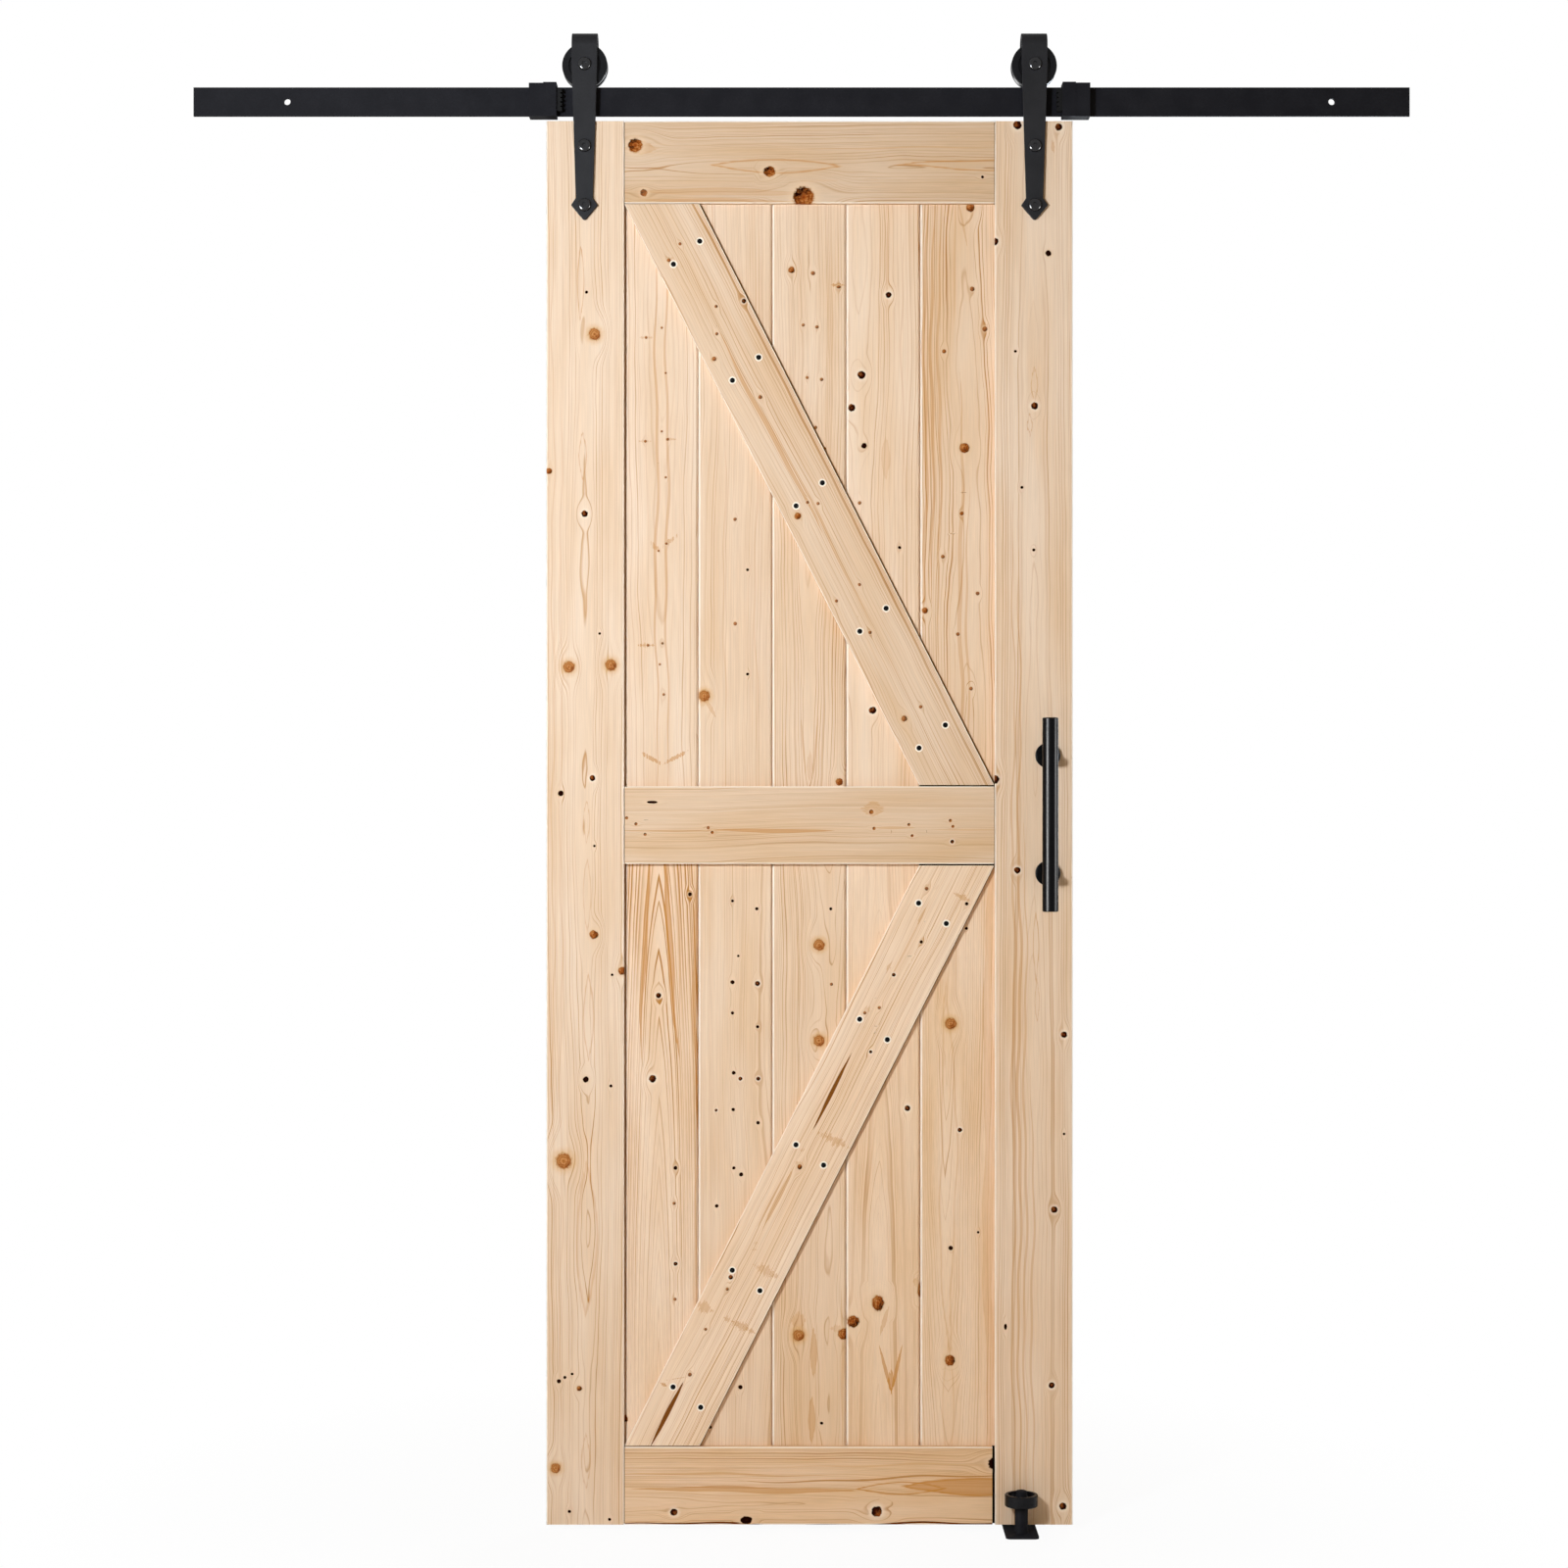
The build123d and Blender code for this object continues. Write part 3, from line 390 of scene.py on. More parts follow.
    zone = add(tree, "MapRange", {"Value": zone, "From Min": 0.3, "From Max": 0.7, "To Min": 0.45, "To Max": 1.5}).outputs[0]
    late = add(tree, "Math", {0: rise, 1: drop}, operation="MULTIPLY").outputs[0]
    late = add(tree, "Math", {0: late, 1: strength}, operation="MULTIPLY").outputs[0]
    late = add(tree, "Math", {0: late, 1: zone}, operation="MULTIPLY").outputs[0]
    late = add(tree, "Math", {0: late, 1: contrast}, operation="MULTIPLY", use_clamp=True).outputs[0]

    # Colour: early wood to late wood, warmed by board, by broad stains and by painted warm bounce light that grows
    # towards the door's foot, streaked by fine fibres.
    broad = add(tree, "VectorMath", {0: log, 1: (0.028, 0.028, 0.0035)}, operation="MULTIPLY").outputs[0]
    stain = add(tree, "TexNoise", {"Vector": broad, "Scale": 1.0, "Detail": 2.0}).outputs["Fac"]
    stain = add(tree, "MapRange", {"Value": stain, "From Min": 0.35, "From Max": 0.75, "To Min": -0.12, "To Max": 0.36}).outputs[0]
    warm = add(tree, "Math", {0: stain, 1: warmth}, operation="ADD", use_clamp=True).outputs[0]
    early = add(tree, "Mix", {0: warm, 6: linear("#F0D8BF"), 7: linear("#DFB88C")}, data_type="RGBA").outputs[2]
    lines = add(tree, "Mix", {0: warm, 6: linear("#C48E4E"), 7: linear("#AA6A2A")}, data_type="RGBA").outputs[2]
    colour = add(tree, "Mix", {0: late, 6: early, 7: lines}, data_type="RGBA").outputs[2]
    thread = add(tree, "VectorMath", {0: log, 1: (0.9, 0.9, 0.016)}, operation="MULTIPLY").outputs[0]
    fibre = add(tree, "TexNoise", {"Vector": thread, "Scale": 1.0, "Detail": 3.0, "Roughness": 0.6}).outputs["Fac"]
    shade = add(tree, "MapRange", {"Value": fibre, "From Min": 0.25, "From Max": 0.75, "To Min": 0.92, "To Max": 1.07}).outputs[0]
    # Each board's paleness: partly its own tone, partly painted light that evens out the key lamp's fall-off towards
    # the lower right.
    shade = add(tree, "Math", {0: shade, 1: light}, operation="MULTIPLY").outputs[0]
    colour = add(tree, "Mix", {0: 1.0, 6: colour, 7: shade}, data_type="RGBA", blend_type="MULTIPLY").outputs[2]
    # Painted highlight: the rounded arrises are lightened towards cream, as if they caught the light.
    painted_arris_highlight = add(tree, "Math", {0: arris, 1: 0.8}, operation="MULTIPLY").outputs[0]
    colour = add(tree, "Mix", {0: painted_arris_highlight, 6: colour, 7: linear("#FFF3E2")}, data_type="RGBA").outputs[2]

    # Streaks: lenses of resin and feathered grain with ends frayed along the fibres, splits that go on to red brown, and
    # loops that show only as their outline.
    frayed = add(tree, "VectorMath", {0: log, 1: (0.6, 0.6, 0.03)}, operation="MULTIPLY").outputs[0]
    frayed = add(tree, "TexNoise", {"Vector": frayed, "Scale": 1.0, "Detail": 2.0}).outputs["Fac"]
    frayed = add(tree, "MapRange", {"Value": frayed, "From Min": 0.3, "From Max": 0.7, "To Max": 0.9}).outputs[0]
    for channel, (spot, kind) in zip(CHANNELS, spots):
        kinds = add(tree, "SeparateXYZ", {0: kind})
        streak = add(tree, "SeparateXYZ", {0: add(tree, "Attribute", attribute_name="streak_" + channel).outputs["Vector"]})
        off, run, amount = streak.outputs
        off = add(tree, "Math", {0: off}, operation="ABSOLUTE").outputs[0]
        run = add(tree, "Math", {0: run}, operation="ABSOLUTE").outputs[0]
        run = add(tree, "Math", {0: frayed, 1: kinds.outputs[2], 2: run}, operation="MULTIPLY_ADD").outputs[0]
        away = add(tree, "Math", {0: run, 1: run, 2: off}, operation="MULTIPLY_ADD").outputs[0]
        soak = add(tree, "MapRange", {"Value": away, "From Min": 0.86, "From Max": 1.0, "To Min": 1.0, "To Max": 0.0},
                   interpolation_type="SMOOTHSTEP").outputs[0]
        filled = add(tree, "Math", {0: amount, 1: 0.0}, operation="GREATER_THAN").outputs[0]
        middle = add(tree, "Math", {0: filled, 1: 0.65}, operation="MULTIPLY").outputs[0]
        rim = add(tree, "MapRange", {"Value": away, "From Min": 0.68, "From Max": 0.9, "To Min": middle}).outputs[0]
        soak = add(tree, "Math", {0: soak, 1: rim}, operation="MULTIPLY").outputs[0]
        amount = add(tree, "Math", {0: amount}, operation="ABSOLUTE").outputs[0]
        soak = add(tree, "Math", {0: soak, 1: amount}, operation="MULTIPLY", use_clamp=True).outputs[0]
        burn = add(tree, "Math", {0: amount, 1: 1.0}, operation="SUBTRACT", use_clamp=True).outputs[0]
        resin = add(tree, "Mix", {0: burn, 6: linear("#C68436"), 7: linear("#5A2006")}, data_type="RGBA").outputs[2]
        colour = add(tree, "Mix", {0: soak, 6: colour, 7: resin}, data_type="RGBA").outputs[2]

    # Knots: a stained halo, paler round a dark knot, a thin amber fringe, then the knot with its own small rings and a
    # ragged edge. Its rim is darker on its lower right: painted shade, on the side away from the key lamp.
    crumb = add(tree, "VectorMath", {0: log, 1: (0.3, 0.3, 0.2)}, operation="MULTIPLY").outputs[0]
    ragged = add(tree, "TexNoise", {"Vector": crumb, "Scale": 1.0, "Detail": 2.0}).outputs["Fac"]
    patch = add(tree, "MapRange", {"Value": ragged, "From Min": 0.35, "From Max": 0.65, "To Min": -0.3, "To Max": 0.3}).outputs[0]
    for spot, kind in spots:
        kinds = add(tree, "SeparateXYZ", {0: kind})
        darkness, firm = kinds.outputs[:2]
        flat = add(tree, "VectorMath", {0: spot, 1: (1, 1, 0)}, operation="MULTIPLY").outputs[0]
        away = add(tree, "VectorMath", {0: flat}, operation="LENGTH").outputs["Value"]
        away = add(tree, "Math", {0: ragged, 1: 0.6, 2: away}, operation="MULTIPLY_ADD").outputs[0]
        away = add(tree, "Math", {0: away, 1: 0.3}, operation="SUBTRACT").outputs[0]
        halo = add(tree, "MapRange", {"Value": away, "From Min": 0.9, "From Max": 2.2, "To Min": 0.6, "To Max": 0.0},
                   interpolation_type="SMOOTHSTEP").outputs[0]
        halo = add(tree, "Math", {0: halo, 1: firm}, operation="MULTIPLY").outputs[0]
        paler = add(tree, "Math", {0: darkness, 1: 1.0}, operation="PINGPONG").outputs[0]
        round_it = add(tree, "Mix", {0: paler, 6: linear("#D6A361"), 7: linear("#F9EAD4")}, data_type="RGBA").outputs[2]
        colour = add(tree, "Mix", {0: halo, 6: colour, 7: round_it}, data_type="RGBA").outputs[2]
        fringe = add(tree, "MapRange", {"Value": away, "From Min": 1.0, "From Max": 1.2, "To Min": 0.7, "To Max": 0.0}).outputs[0]
        fringe = add(tree, "Math", {0: fringe, 1: firm}, operation="MULTIPLY").outputs[0]
        amber = add(tree, "Math", {0: paler, 1: -0.8, 2: 1.0}, operation="MULTIPLY_ADD").outputs[0]
        fringe = add(tree, "Math", {0: fringe, 1: amber}, operation="MULTIPLY").outputs[0]
        colour = add(tree, "Mix", {0: fringe, 6: colour, 7: linear("#B07636")}, data_type="RGBA").outputs[2]
        tan = set_stops(add(tree, "ValToRGB", {0: away}), TAN_KNOT)
        middle = add(tree, "MapRange", {"Value": darkness, "From Min": 1.0, "From Max": 1.5, "To Max": 0.6}).outputs[0]
        inner = add(tree, "Math", {0: away, 1: middle}, operation="ADD").outputs[0]
        dark = set_stops(add(tree, "ValToRGB", {0: inner}), DARK_KNOT)
        # Painted shade: the knot darkens towards its lower right, the side away from the key lamp.
        side = add(tree, "VectorMath", {0: flat, 1: (0.4, -0.3, 0)}, operation="DOT_PRODUCT").outputs["Value"]
        depth = add(tree, "Math", {0: darkness, 1: patch}, operation="ADD").outputs[0]
        depth = add(tree, "Math", {0: depth, 1: side}, operation="ADD", use_clamp=True).outputs[0]
        inside = add(tree, "Mix", {0: depth, 6: tan, 7: dark}, data_type="RGBA").outputs[2]
        blush = add(tree, "Math", {0: depth, 1: 0.5}, operation="PINGPONG").outputs[0]
        blush = add(tree, "Math", {0: blush, 1: 2.0}, operation="MULTIPLY").outputs[0]
        inside = add(tree, "Mix", {0: blush, 6: inside, 7: KNOT_BLUSH}, data_type="RGBA", blend_type="MULTIPLY").outputs[2]
        core = add(tree, "MapRange", {"Value": away, "From Min": 0.92, "From Max": 1.1, "To Min": 1.0, "To Max": 0.0},
                   interpolation_type="SMOOTHSTEP").outputs[0]
        core = add(tree, "Math", {0: core, 1: firm}, operation="MULTIPLY").outputs[0]
        colour = add(tree, "Mix", {0: core, 6: colour, 7: inside}, data_type="RGBA").outputs[2]

    # Painted shadow: a dark line of fixed width on the plank's face along the brace's right edge, where the brace casts
    # its shadow.
    painted_shade = add(tree, "SeparateXYZ", {0: add(tree, "Attribute", attribute_name="painted_shade").outputs["Vector"]})
    beside, depth, floor = painted_shade.outputs
    half = SHADE_LINE_WIDTH / 2
    inside = add(tree, "Math", {0: beside, 1: half, 2: half}, operation="COMPARE").outputs[0]
    inside = add(tree, "Math", {0: inside, 1: depth}, operation="MULTIPLY").outputs[0]
    colour = add(tree, "Mix", {0: inside, 6: colour, 7: linear("#8A6A42")}, data_type="RGBA").outputs[2]
    # Painted shade: the floor of an open joint at a board's end is coloured near black, for the shade deep in the
    # joint.
    colour = add(tree, "Mix", {0: floor, 6: colour, 7: linear("#120A05")}, data_type="RGBA").outputs[2]

    rough = add(tree, "MapRange", {"Value": fibre, "To Min": 0.5, "To Max": 0.68}).outputs[0]
    height = add(tree, "Math", {0: late, 1: 0.5, 2: fibre}, operation="MULTIPLY_ADD").outputs[0]
    bump = add(tree, "Bump", {"Height": height, "Strength": 0.25, "Distance": 0.15 * MM}).outputs[0]
    face = add(tree, "BsdfPrincipled", {"Base Color": colour, "Roughness": rough, "Normal": bump, "Specular Tint": colour,
                                          "Specular IOR Level": 0.02})
    add(tree, "OutputMaterial", {0: face.outputs[0]})
    return material


def black_finish(name, dark, pale, roughness, specular, grain, relief):
    """A black finish: two near blacks mottled over `grain` mm, with the same grain in roughness and, `relief` mm deep,
    in the surface."""
    material, tree = new_material(name)
    place = add(tree, "TexCoord").outputs["Object"]
    fine = add(tree, "TexNoise", {"Vector": place, "Scale": 1 / (grain * MM), "Detail": 3.0}).outputs["Fac"]
    broad = add(tree, "TexNoise", {"Vector": place, "Scale": 0.04 / (grain * MM), "Detail": 2.0}).outputs["Fac"]
    mottle = add(tree, "Math", {0: fine, 1: broad}, operation="MULTIPLY").outputs[0]
    mottle = add(tree, "MapRange", {"Value": mottle, "From Min": 0.1, "From Max": 0.45}).outputs[0]
    colour = add(tree, "Mix", {0: mottle, 6: linear(dark), 7: linear(pale)}, data_type="RGBA").outputs[2]
    rough = add(tree, "MapRange", {"Value": mottle, "To Min": roughness - 0.06, "To Max": roughness + 0.06}).outputs[0]
    bump = add(tree, "Bump", {"Height": fine, "Strength": 0.4, "Distance": relief * MM}).outputs[0]
    face = add(tree, "BsdfPrincipled", {"Base Color": colour, "Roughness": rough, "Normal": bump})
    face.inputs["Specular IOR Level"].default_value = specular
    add(tree, "OutputMaterial", {0: face.outputs[0]})
    return material


def fill_faces(points, arris):
    """Divides the straight faces of an outline into columns. The points added lie on no arris."""
    filled, marks = [], []
    for here, after, mark in zip(points, np.roll(points, -1, axis=0), arris):
        count = max(1, round(np.linalg.norm(after - here) / COLUMN))
        filled.append(np.linspace(here, after, count, endpoint=False))
        marks += [mark] + [0] * (count - 1)
    return np.concatenate(filled), np.array(marks)


def plank_outline(width, thick, left_slot, right_slot):
    """A plank's cross section as (across, depth): a bevelled left edge, or a slot where it meets the stile, on the right
    a slot that leaves the joint open in front and closed behind, and small bevels at the back."""
    if left_slot:
        points = [(0, SLOT_DEPTH, 0), (left_slot, SLOT_DEPTH, 0), (left_slot, PLANK_EASE, 1), (left_slot + PLANK_EASE, 0, 1)]
        points += [(left_slot + PLANK_EASE + ARRIS_MARGIN, 0, 0)]
    else:
        points = [(0, PLANK_VEE, 1), (PLANK_VEE, 0, 1), (PLANK_VEE + ARRIS_MARGIN, 0, 0)]
    right = width - right_slot
    points += [(right - PLANK_VEE - ARRIS_MARGIN, 0, 0)]
    if right_slot:
        points += [(right - PLANK_VEE, 0, 0), (right, PLANK_VEE, 0), (right, SLOT_DEPTH, 0), (width, SLOT_DEPTH, 0)]
    else:
        points += [(width, 0, 0)]
    points += [(width, thick - BACK_VEE, 0), (width - BACK_VEE, thick, 0), (BACK_VEE, thick, 0), (0, thick - BACK_VEE, 0)]
    points = np.array(points)
    return fill_faces(points[:, :2], points[:, 2])


def board_outline(width, thick, left, right, steps):
    """A board's cross section as (across, depth), round from the front left: four arrises, each a quarter circle, the
    front two in `steps` points and the back two in three, joined by straight faces. Gives the points and which of them
    lie on an arris."""
    corners = ((left, left, left, np.pi, steps), (width - right, right, right, 1.5 * np.pi, steps),
               (width - BACK_EASE, thick - BACK_EASE, BACK_EASE, 0.0, 3), (BACK_EASE, thick - BACK_EASE, BACK_EASE, 0.5 * np.pi, 3))
    points, arris = [], []
    for x, y, size, start, count in corners:
        turn = np.linspace(start, start + np.pi / 2, count)
        arc = np.column_stack((x + size * np.cos(turn), y + size * np.sin(turn)))
        before = arc[0] + ARRIS_MARGIN * np.array((np.sin(start), -np.cos(start)))
        after = arc[-1] + ARRIS_MARGIN * np.array((-np.sin(turn[-1]), np.cos(turn[-1])))
        points += [before[None], arc, after[None]]
        arris += [0, *np.ones(count), 0]
    return fill_faces(np.concatenate(points), np.array(arris))


def share_marks(knots):
    """Gives each knot or streak the first channel where its reach is clear of those already there."""
    shared = [[] for _ in CHANNELS]
    for knot in knots:
        clear = [not any(np.all(np.abs(knot["place"] - other["place"]) < knot["reach"] + other["reach"] + COLUMN)
                         for other in row) for row in shared]
        if any(clear):
            shared[clear.index(True)].append(knot)
        else:
            print("no room for a mark at", knot["board"], knot["given"])
    return shared


def nearest_mark(across, along, marks):
    """Offsets to every mark of one channel, which mark is nearest for its reach, and whether a point is within it."""
    away = np.stack([np.column_stack((across, along)) - mark["place"] for mark in marks])
    reach = np.array([mark["reach"] for mark in marks])[:, None, :]
    share = np.max(np.abs(away) / reach, axis=2)
    nearest = np.argmin(share, axis=0)
    rows = np.arange(across.size)
    return away, nearest, rows, share[nearest, rows] < 1


def streak_fields(across, along, streaks):
    """For one channel: offset to the nearest streak in streak sizes, along its slant and its slow wave, with its strength,
    which is nought out of every streak's reach, and how far its ends fray, which is more the shorter it is."""
    field = np.zeros((across.size, 3))
    fray = np.zeros(across.size)
    if streaks:
        away, nearest, rows, inside = nearest_mark(across, along, streaks)
        size = np.array([streak["size"] for streak in streaks])[nearest]
        amount, lean = np.array([streak["kind"] for streak in streaks])[nearest].T
        off, run = away[nearest, rows].T
        wave = (2.4 * np.sin(along / 61) + 1.3 * np.sin(along / 23 + 1)) * np.clip(size[:, 1] / 200 - 0.2, 0, 1)
        field[:] = np.column_stack(((off - lean * run - wave) / size[:, 0], run / size[:, 1], amount * inside))
        fray[:] = np.clip(FRAY_LENGTH / size[:, 1], 0.12, 1)
    return field, fray


def knot_fields(across, along, knots):
    """For one channel: offset to the nearest knot in knot sizes with the push in mm, and the knot's kind. The push and
    the knot's firmness are nought out of every knot's reach."""
    spot = np.zeros((across.size, 3))
    kind = np.zeros((across.size, 3))
    if knots:
        away, nearest, rows, inside = nearest_mark(across, along, knots)
        size = np.array([knot["size"] for knot in knots])[nearest]
        dark, firm = np.array([knot["kind"] for knot in knots])[nearest].T
        spot[:, :2] = away[nearest, rows] / size
        spot[:, 2] = size[:, 0] * firm * inside
        kind[:, 0] = dark
        kind[:, 1] = firm * inside
    return spot, kind


def put_mesh(name, points, quads, caps, rounded, body, material, attributes=None):
    """Makes one piece from points in mm, its faces and which of them are shaded round, and hangs it on a body."""
    mesh = bpy.data.meshes.new(name)
    mesh.from_pydata((points * MM).tolist(), [], quads.tolist() + caps)
    mesh.polygons.foreach_set("use_smooth", np.concatenate((rounded, np.zeros(len(caps), bool))))
    for key, values in (attributes or {}).items():
        layer = mesh.attributes.new(key, "FLOAT_VECTOR", "POINT")
        layer.data.foreach_set("vector", np.ascontiguousarray(values, dtype=np.float32).ravel())
    mesh.materials.append(material)
    mesh.update()
    piece = bpy.data.objects.new(name, mesh)
    bpy.context.scene.collection.objects.link(piece)
    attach(piece, body)
    return piece


def make_board(node, start, span, rise, length, outline, arris, gaps=(0.0, 0.0), knots_from=None, painted_shade=None):
    """A board: its cross section carried from `start` along `rise`, with open joints cut back into the front at its
    ends.
    Each point keeps its place in the log, its board's figure, its nearest knots and streaks, its distance to the right
    of the brace that lies on the board, where a painted shadow line runs, and whether it lies on the floor of an open
    joint."""
    first, last = gaps
    stations = np.linspace(first, length - last, round(length / STATION) + 1)
    if first:
        stations = np.concatenate(([0, first - 0.02], stations))
    if last:
        stations = np.concatenate((stations, [length - last + 0.02, length]))
    cut = np.where((stations < first) | (stations > length - last), JOINT_DEPTH, 0.0)
    depth = np.maximum(outline[None, :, 1], cut[:, None])
    across_too = np.broadcast_to(outline[None, :, 0], depth.shape)
    points = start + across_too[..., None] * span + stations[:, None, None] * rise + depth[..., None] * BACK
    points = points.reshape(-1, 3)
    count = len(outline)
    row = np.arange(len(stations) - 1)[:, None] * count
    here = np.arange(count)[None, :]
    after = (here + 1) % count
    quads = np.stack((row + here, row + after, row + after + count, row + here + count), axis=-1).reshape(-1, 4)
    caps = [list(range(count))[::-1], list(range(len(points) - count, len(points)))]
    if np.dot(np.cross(span, rise), BACK) > 0:
        quads = quads[:, ::-1]
        caps = [cap[::-1] for cap in caps]
    grain = rise / np.linalg.norm(rise)
    side = span - np.dot(span, grain) * grain
    side = side / np.linalg.norm(side)
    axes = np.stack((side, grain))
    local = points - start
    across, along = axes @ local.T
    shift = np.zeros(2) if knots_from is None else axes @ (knots_from - start)
    turn = np.eye(2) if knots_from is None else axes[:, [0, 2]]
    heart_across, heart_depth, drift, ring_width, foot, head, warmth, light = FIGURE[node]
    seed = 1900.0 * list(FIGURE).index(node)
    first_year = 53.0 * list(FIGURE).index(node)
    fall = (DOOR_TOP - points[:, 2]) / (DOOR_TOP - DOOR_FOOT)
    blank = np.zeros(across.size)
    wander, band, sharp, amber = FLOW.get(node, PLAIN_FLOW)
    rightward = np.clip((across - AMBER_FROM) / AMBER_SPREAD, 0, 1)
    upward = np.clip(along / along.max() - 0.35, 0, 1)
    attributes = {
        "log_mm": np.column_stack((across - heart_across, local[:, 1] - heart_depth + drift * along, along + seed)),
        "figure": np.column_stack((blank + ring_width, foot + (head - foot) * along / along.max(), blank + first_year)),
        "tone": np.column_stack((warmth + FOOT_WARMTH * fall + amber * rightward * upward,
                                 np.tile(arris, len(stations)), blank + light)),
        "flow": np.column_stack((blank + wander, blank + band, blank + sharp))}
    floor = np.repeat(cut > 0, count)
    attributes["painted_shade"] = np.column_stack((blank, blank, floor))
    if painted_shade:
        edge, lean, amount = painted_shade
        beside = points[:, 0] - edge[0] - (points[:, 2] - edge[2]) * lean[0]
        on_face = local[:, 1] < PLANK_VEE
        attributes["painted_shade"] = np.column_stack((beside / np.linalg.norm(lean), amount * on_face, floor))
    knots = []
    for u, v, radius, kind, *ratio in KNOTS[node]:
        radius = radius + KNOT_SPREAD
        size = np.array([radius, radius * (ratio[0] if ratio else 1.0)])
        reach = size * (ACROSS_REACH, LONG_REACH if ratio else ALONG_REACH) + COLUMN
        knots.append({"place": shift + turn @ (u, v), "size": size, "kind": kind, "reach": reach, "board": node, "given": (u, v)})
    streaks = []
    for u, v, half_width, half_length, amount, *slant in STREAKS[node]:
        lean = slant[0] if slant else 0.0
        size = np.array([half_width, half_length])
        reach = STREAK_REACH * np.array([half_width + abs(lean) * half_length, half_length]) + COLUMN
        streaks.append({"place": shift + turn @ (u, v), "size": size, "kind": (amount, lean), "reach": reach, "board": node,
                        "given": (u, v)})
    for channel, knot_row, streak_row in zip(CHANNELS, share_marks(knots), share_marks(streaks)):
        attributes["knot_" + channel], attributes["kind_" + channel] = knot_fields(across, along, knot_row)
        attributes["streak_" + channel], attributes["kind_" + channel][:, 2] = streak_fields(across, along, streak_row)
    rounded = (arris + np.roll(arris, -1)) == 2
    piece = put_mesh(node + "_board", points, quads, caps, np.tile(rounded, len(stations) - 1), "door",
                     SPRUCE, attributes)
    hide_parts(node)


def make_stiles():
    """The two uprights, whole height."""
    for node in ("left_stile", "right_stile"):
        low, high = box_mm(node)
        outline, arris = board_outline(high[0] - low[0], high[1] - low[1] - BACK_RELIEF, FRAME_EASE, FRAME_EASE, 4)
        make_board(node, low, RIGHT, UP, high[2] - low[2], outline, arris)


def make_rails():
    """The three cross rails, from stile to stile; the foot one has an open joint at its right end."""
    for node, right_gap in (("top_rail", JOINT_GAP), ("middle_rail", JOINT_GAP), ("bottom_rail", OPEN_JOINT_GAP)):
        low, high = box_mm(node)
        start = np.array((PANEL_LEFT, low[1], low[2]))
        outline, arris = board_outline(high[2] - low[2], high[1] - low[1] - BACK_RELIEF, FRAME_EASE, FRAME_EASE, 4)
        make_board(node, start, UP, RIGHT, PANEL_RIGHT - PANEL_LEFT, outline, arris, (JOINT_GAP, right_gap))


def make_planks():
    """The planks between the rails, each meeting its neighbour in a bevel and a narrow open joint."""
    width = (PANEL_RIGHT - PANEL_LEFT) / PLANK_COUNT
    for level, foot in PANEL_FEET.items():
        corner, rise, brace_width, _ = brace_shape(level)
        # A painted shadow line along the right edge of the panel's brace.
        painted_shade = (corner + brace_width * RIGHT, rise, SHADE_LINE_STRENGTHS[level])
        for index in range(PLANK_COUNT):
            node = f"{level}_plank_{index + 1}"
            low, high = box_mm(node)
            left_slot = 0.0 if index else STILE_SLOT
            right_slot = PLANK_SLOT if index < PLANK_COUNT - 1 else 0.0
            outline, arris = plank_outline(width + 2 * PLANK_LAP, high[1] - low[1], left_slot, right_slot)
            start = np.array((PANEL_LEFT + index * width - PLANK_LAP, low[1], foot))
            make_board(node, start, RIGHT, UP, PANEL_TOPS[level] - foot, outline, arris, painted_shade=painted_shade)


def brace_shape(level):
    """A brace's lower left front corner, its run for each millimetre of rise, its level width and its height, in mm."""
    node = level + "_brace"
    low, high = box_mm(node)
    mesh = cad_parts[node].data
    points = np.empty(3 * len(mesh.vertices), dtype=np.float32)
    mesh.vertices.foreach_get("co", points)
    points = points.reshape(-1, 3) / MM
    foot = points[points[:, 2] < low[2] + 0.01][:, 0]
    top = points[points[:, 2] > high[2] - 0.01][:, 0]
    height = high[2] - low[2]
    rise = np.array(((top.min() - foot.min()) / height, 0.0, 1.0))
    return np.array((foot.min(), low[1], low[2])), rise, foot.max() - foot.min(), height


def make_braces():
    """The two diagonal boards, cut level at both ends, and their pairs of screws."""
    for level in PANEL_FEET:
        node = level + "_brace"
        low, high = box_mm(node)
        start, rise, width, height = brace_shape(level)
        outline, arris = board_outline(width, high[1] - low[1], BRACE_EASE, BRACE_EASE, 3)
        corner = np.array((PANEL_LEFT, low[1], low[2]))
        make_board(node, start, RIGHT, rise, height, outline, arris, BRACE_GAPS[level], corner)
        middle = start + RIGHT * width / 2
        grain = rise / np.linalg.norm(rise)
        over, up = SCREW_PAIR[level]
        sides = np.array((-0.5, 0.5))[None, :, None] * (over * RIGHT + up * UP)
        centres = middle + np.array(SCREW_ROWS)[:, None, None] * grain + sides
        make_screws(level + "_brace_screws", centres.reshape(-1, 3))
        make_seats(level + "_brace_screw_seats", centres.reshape(-1, 3))


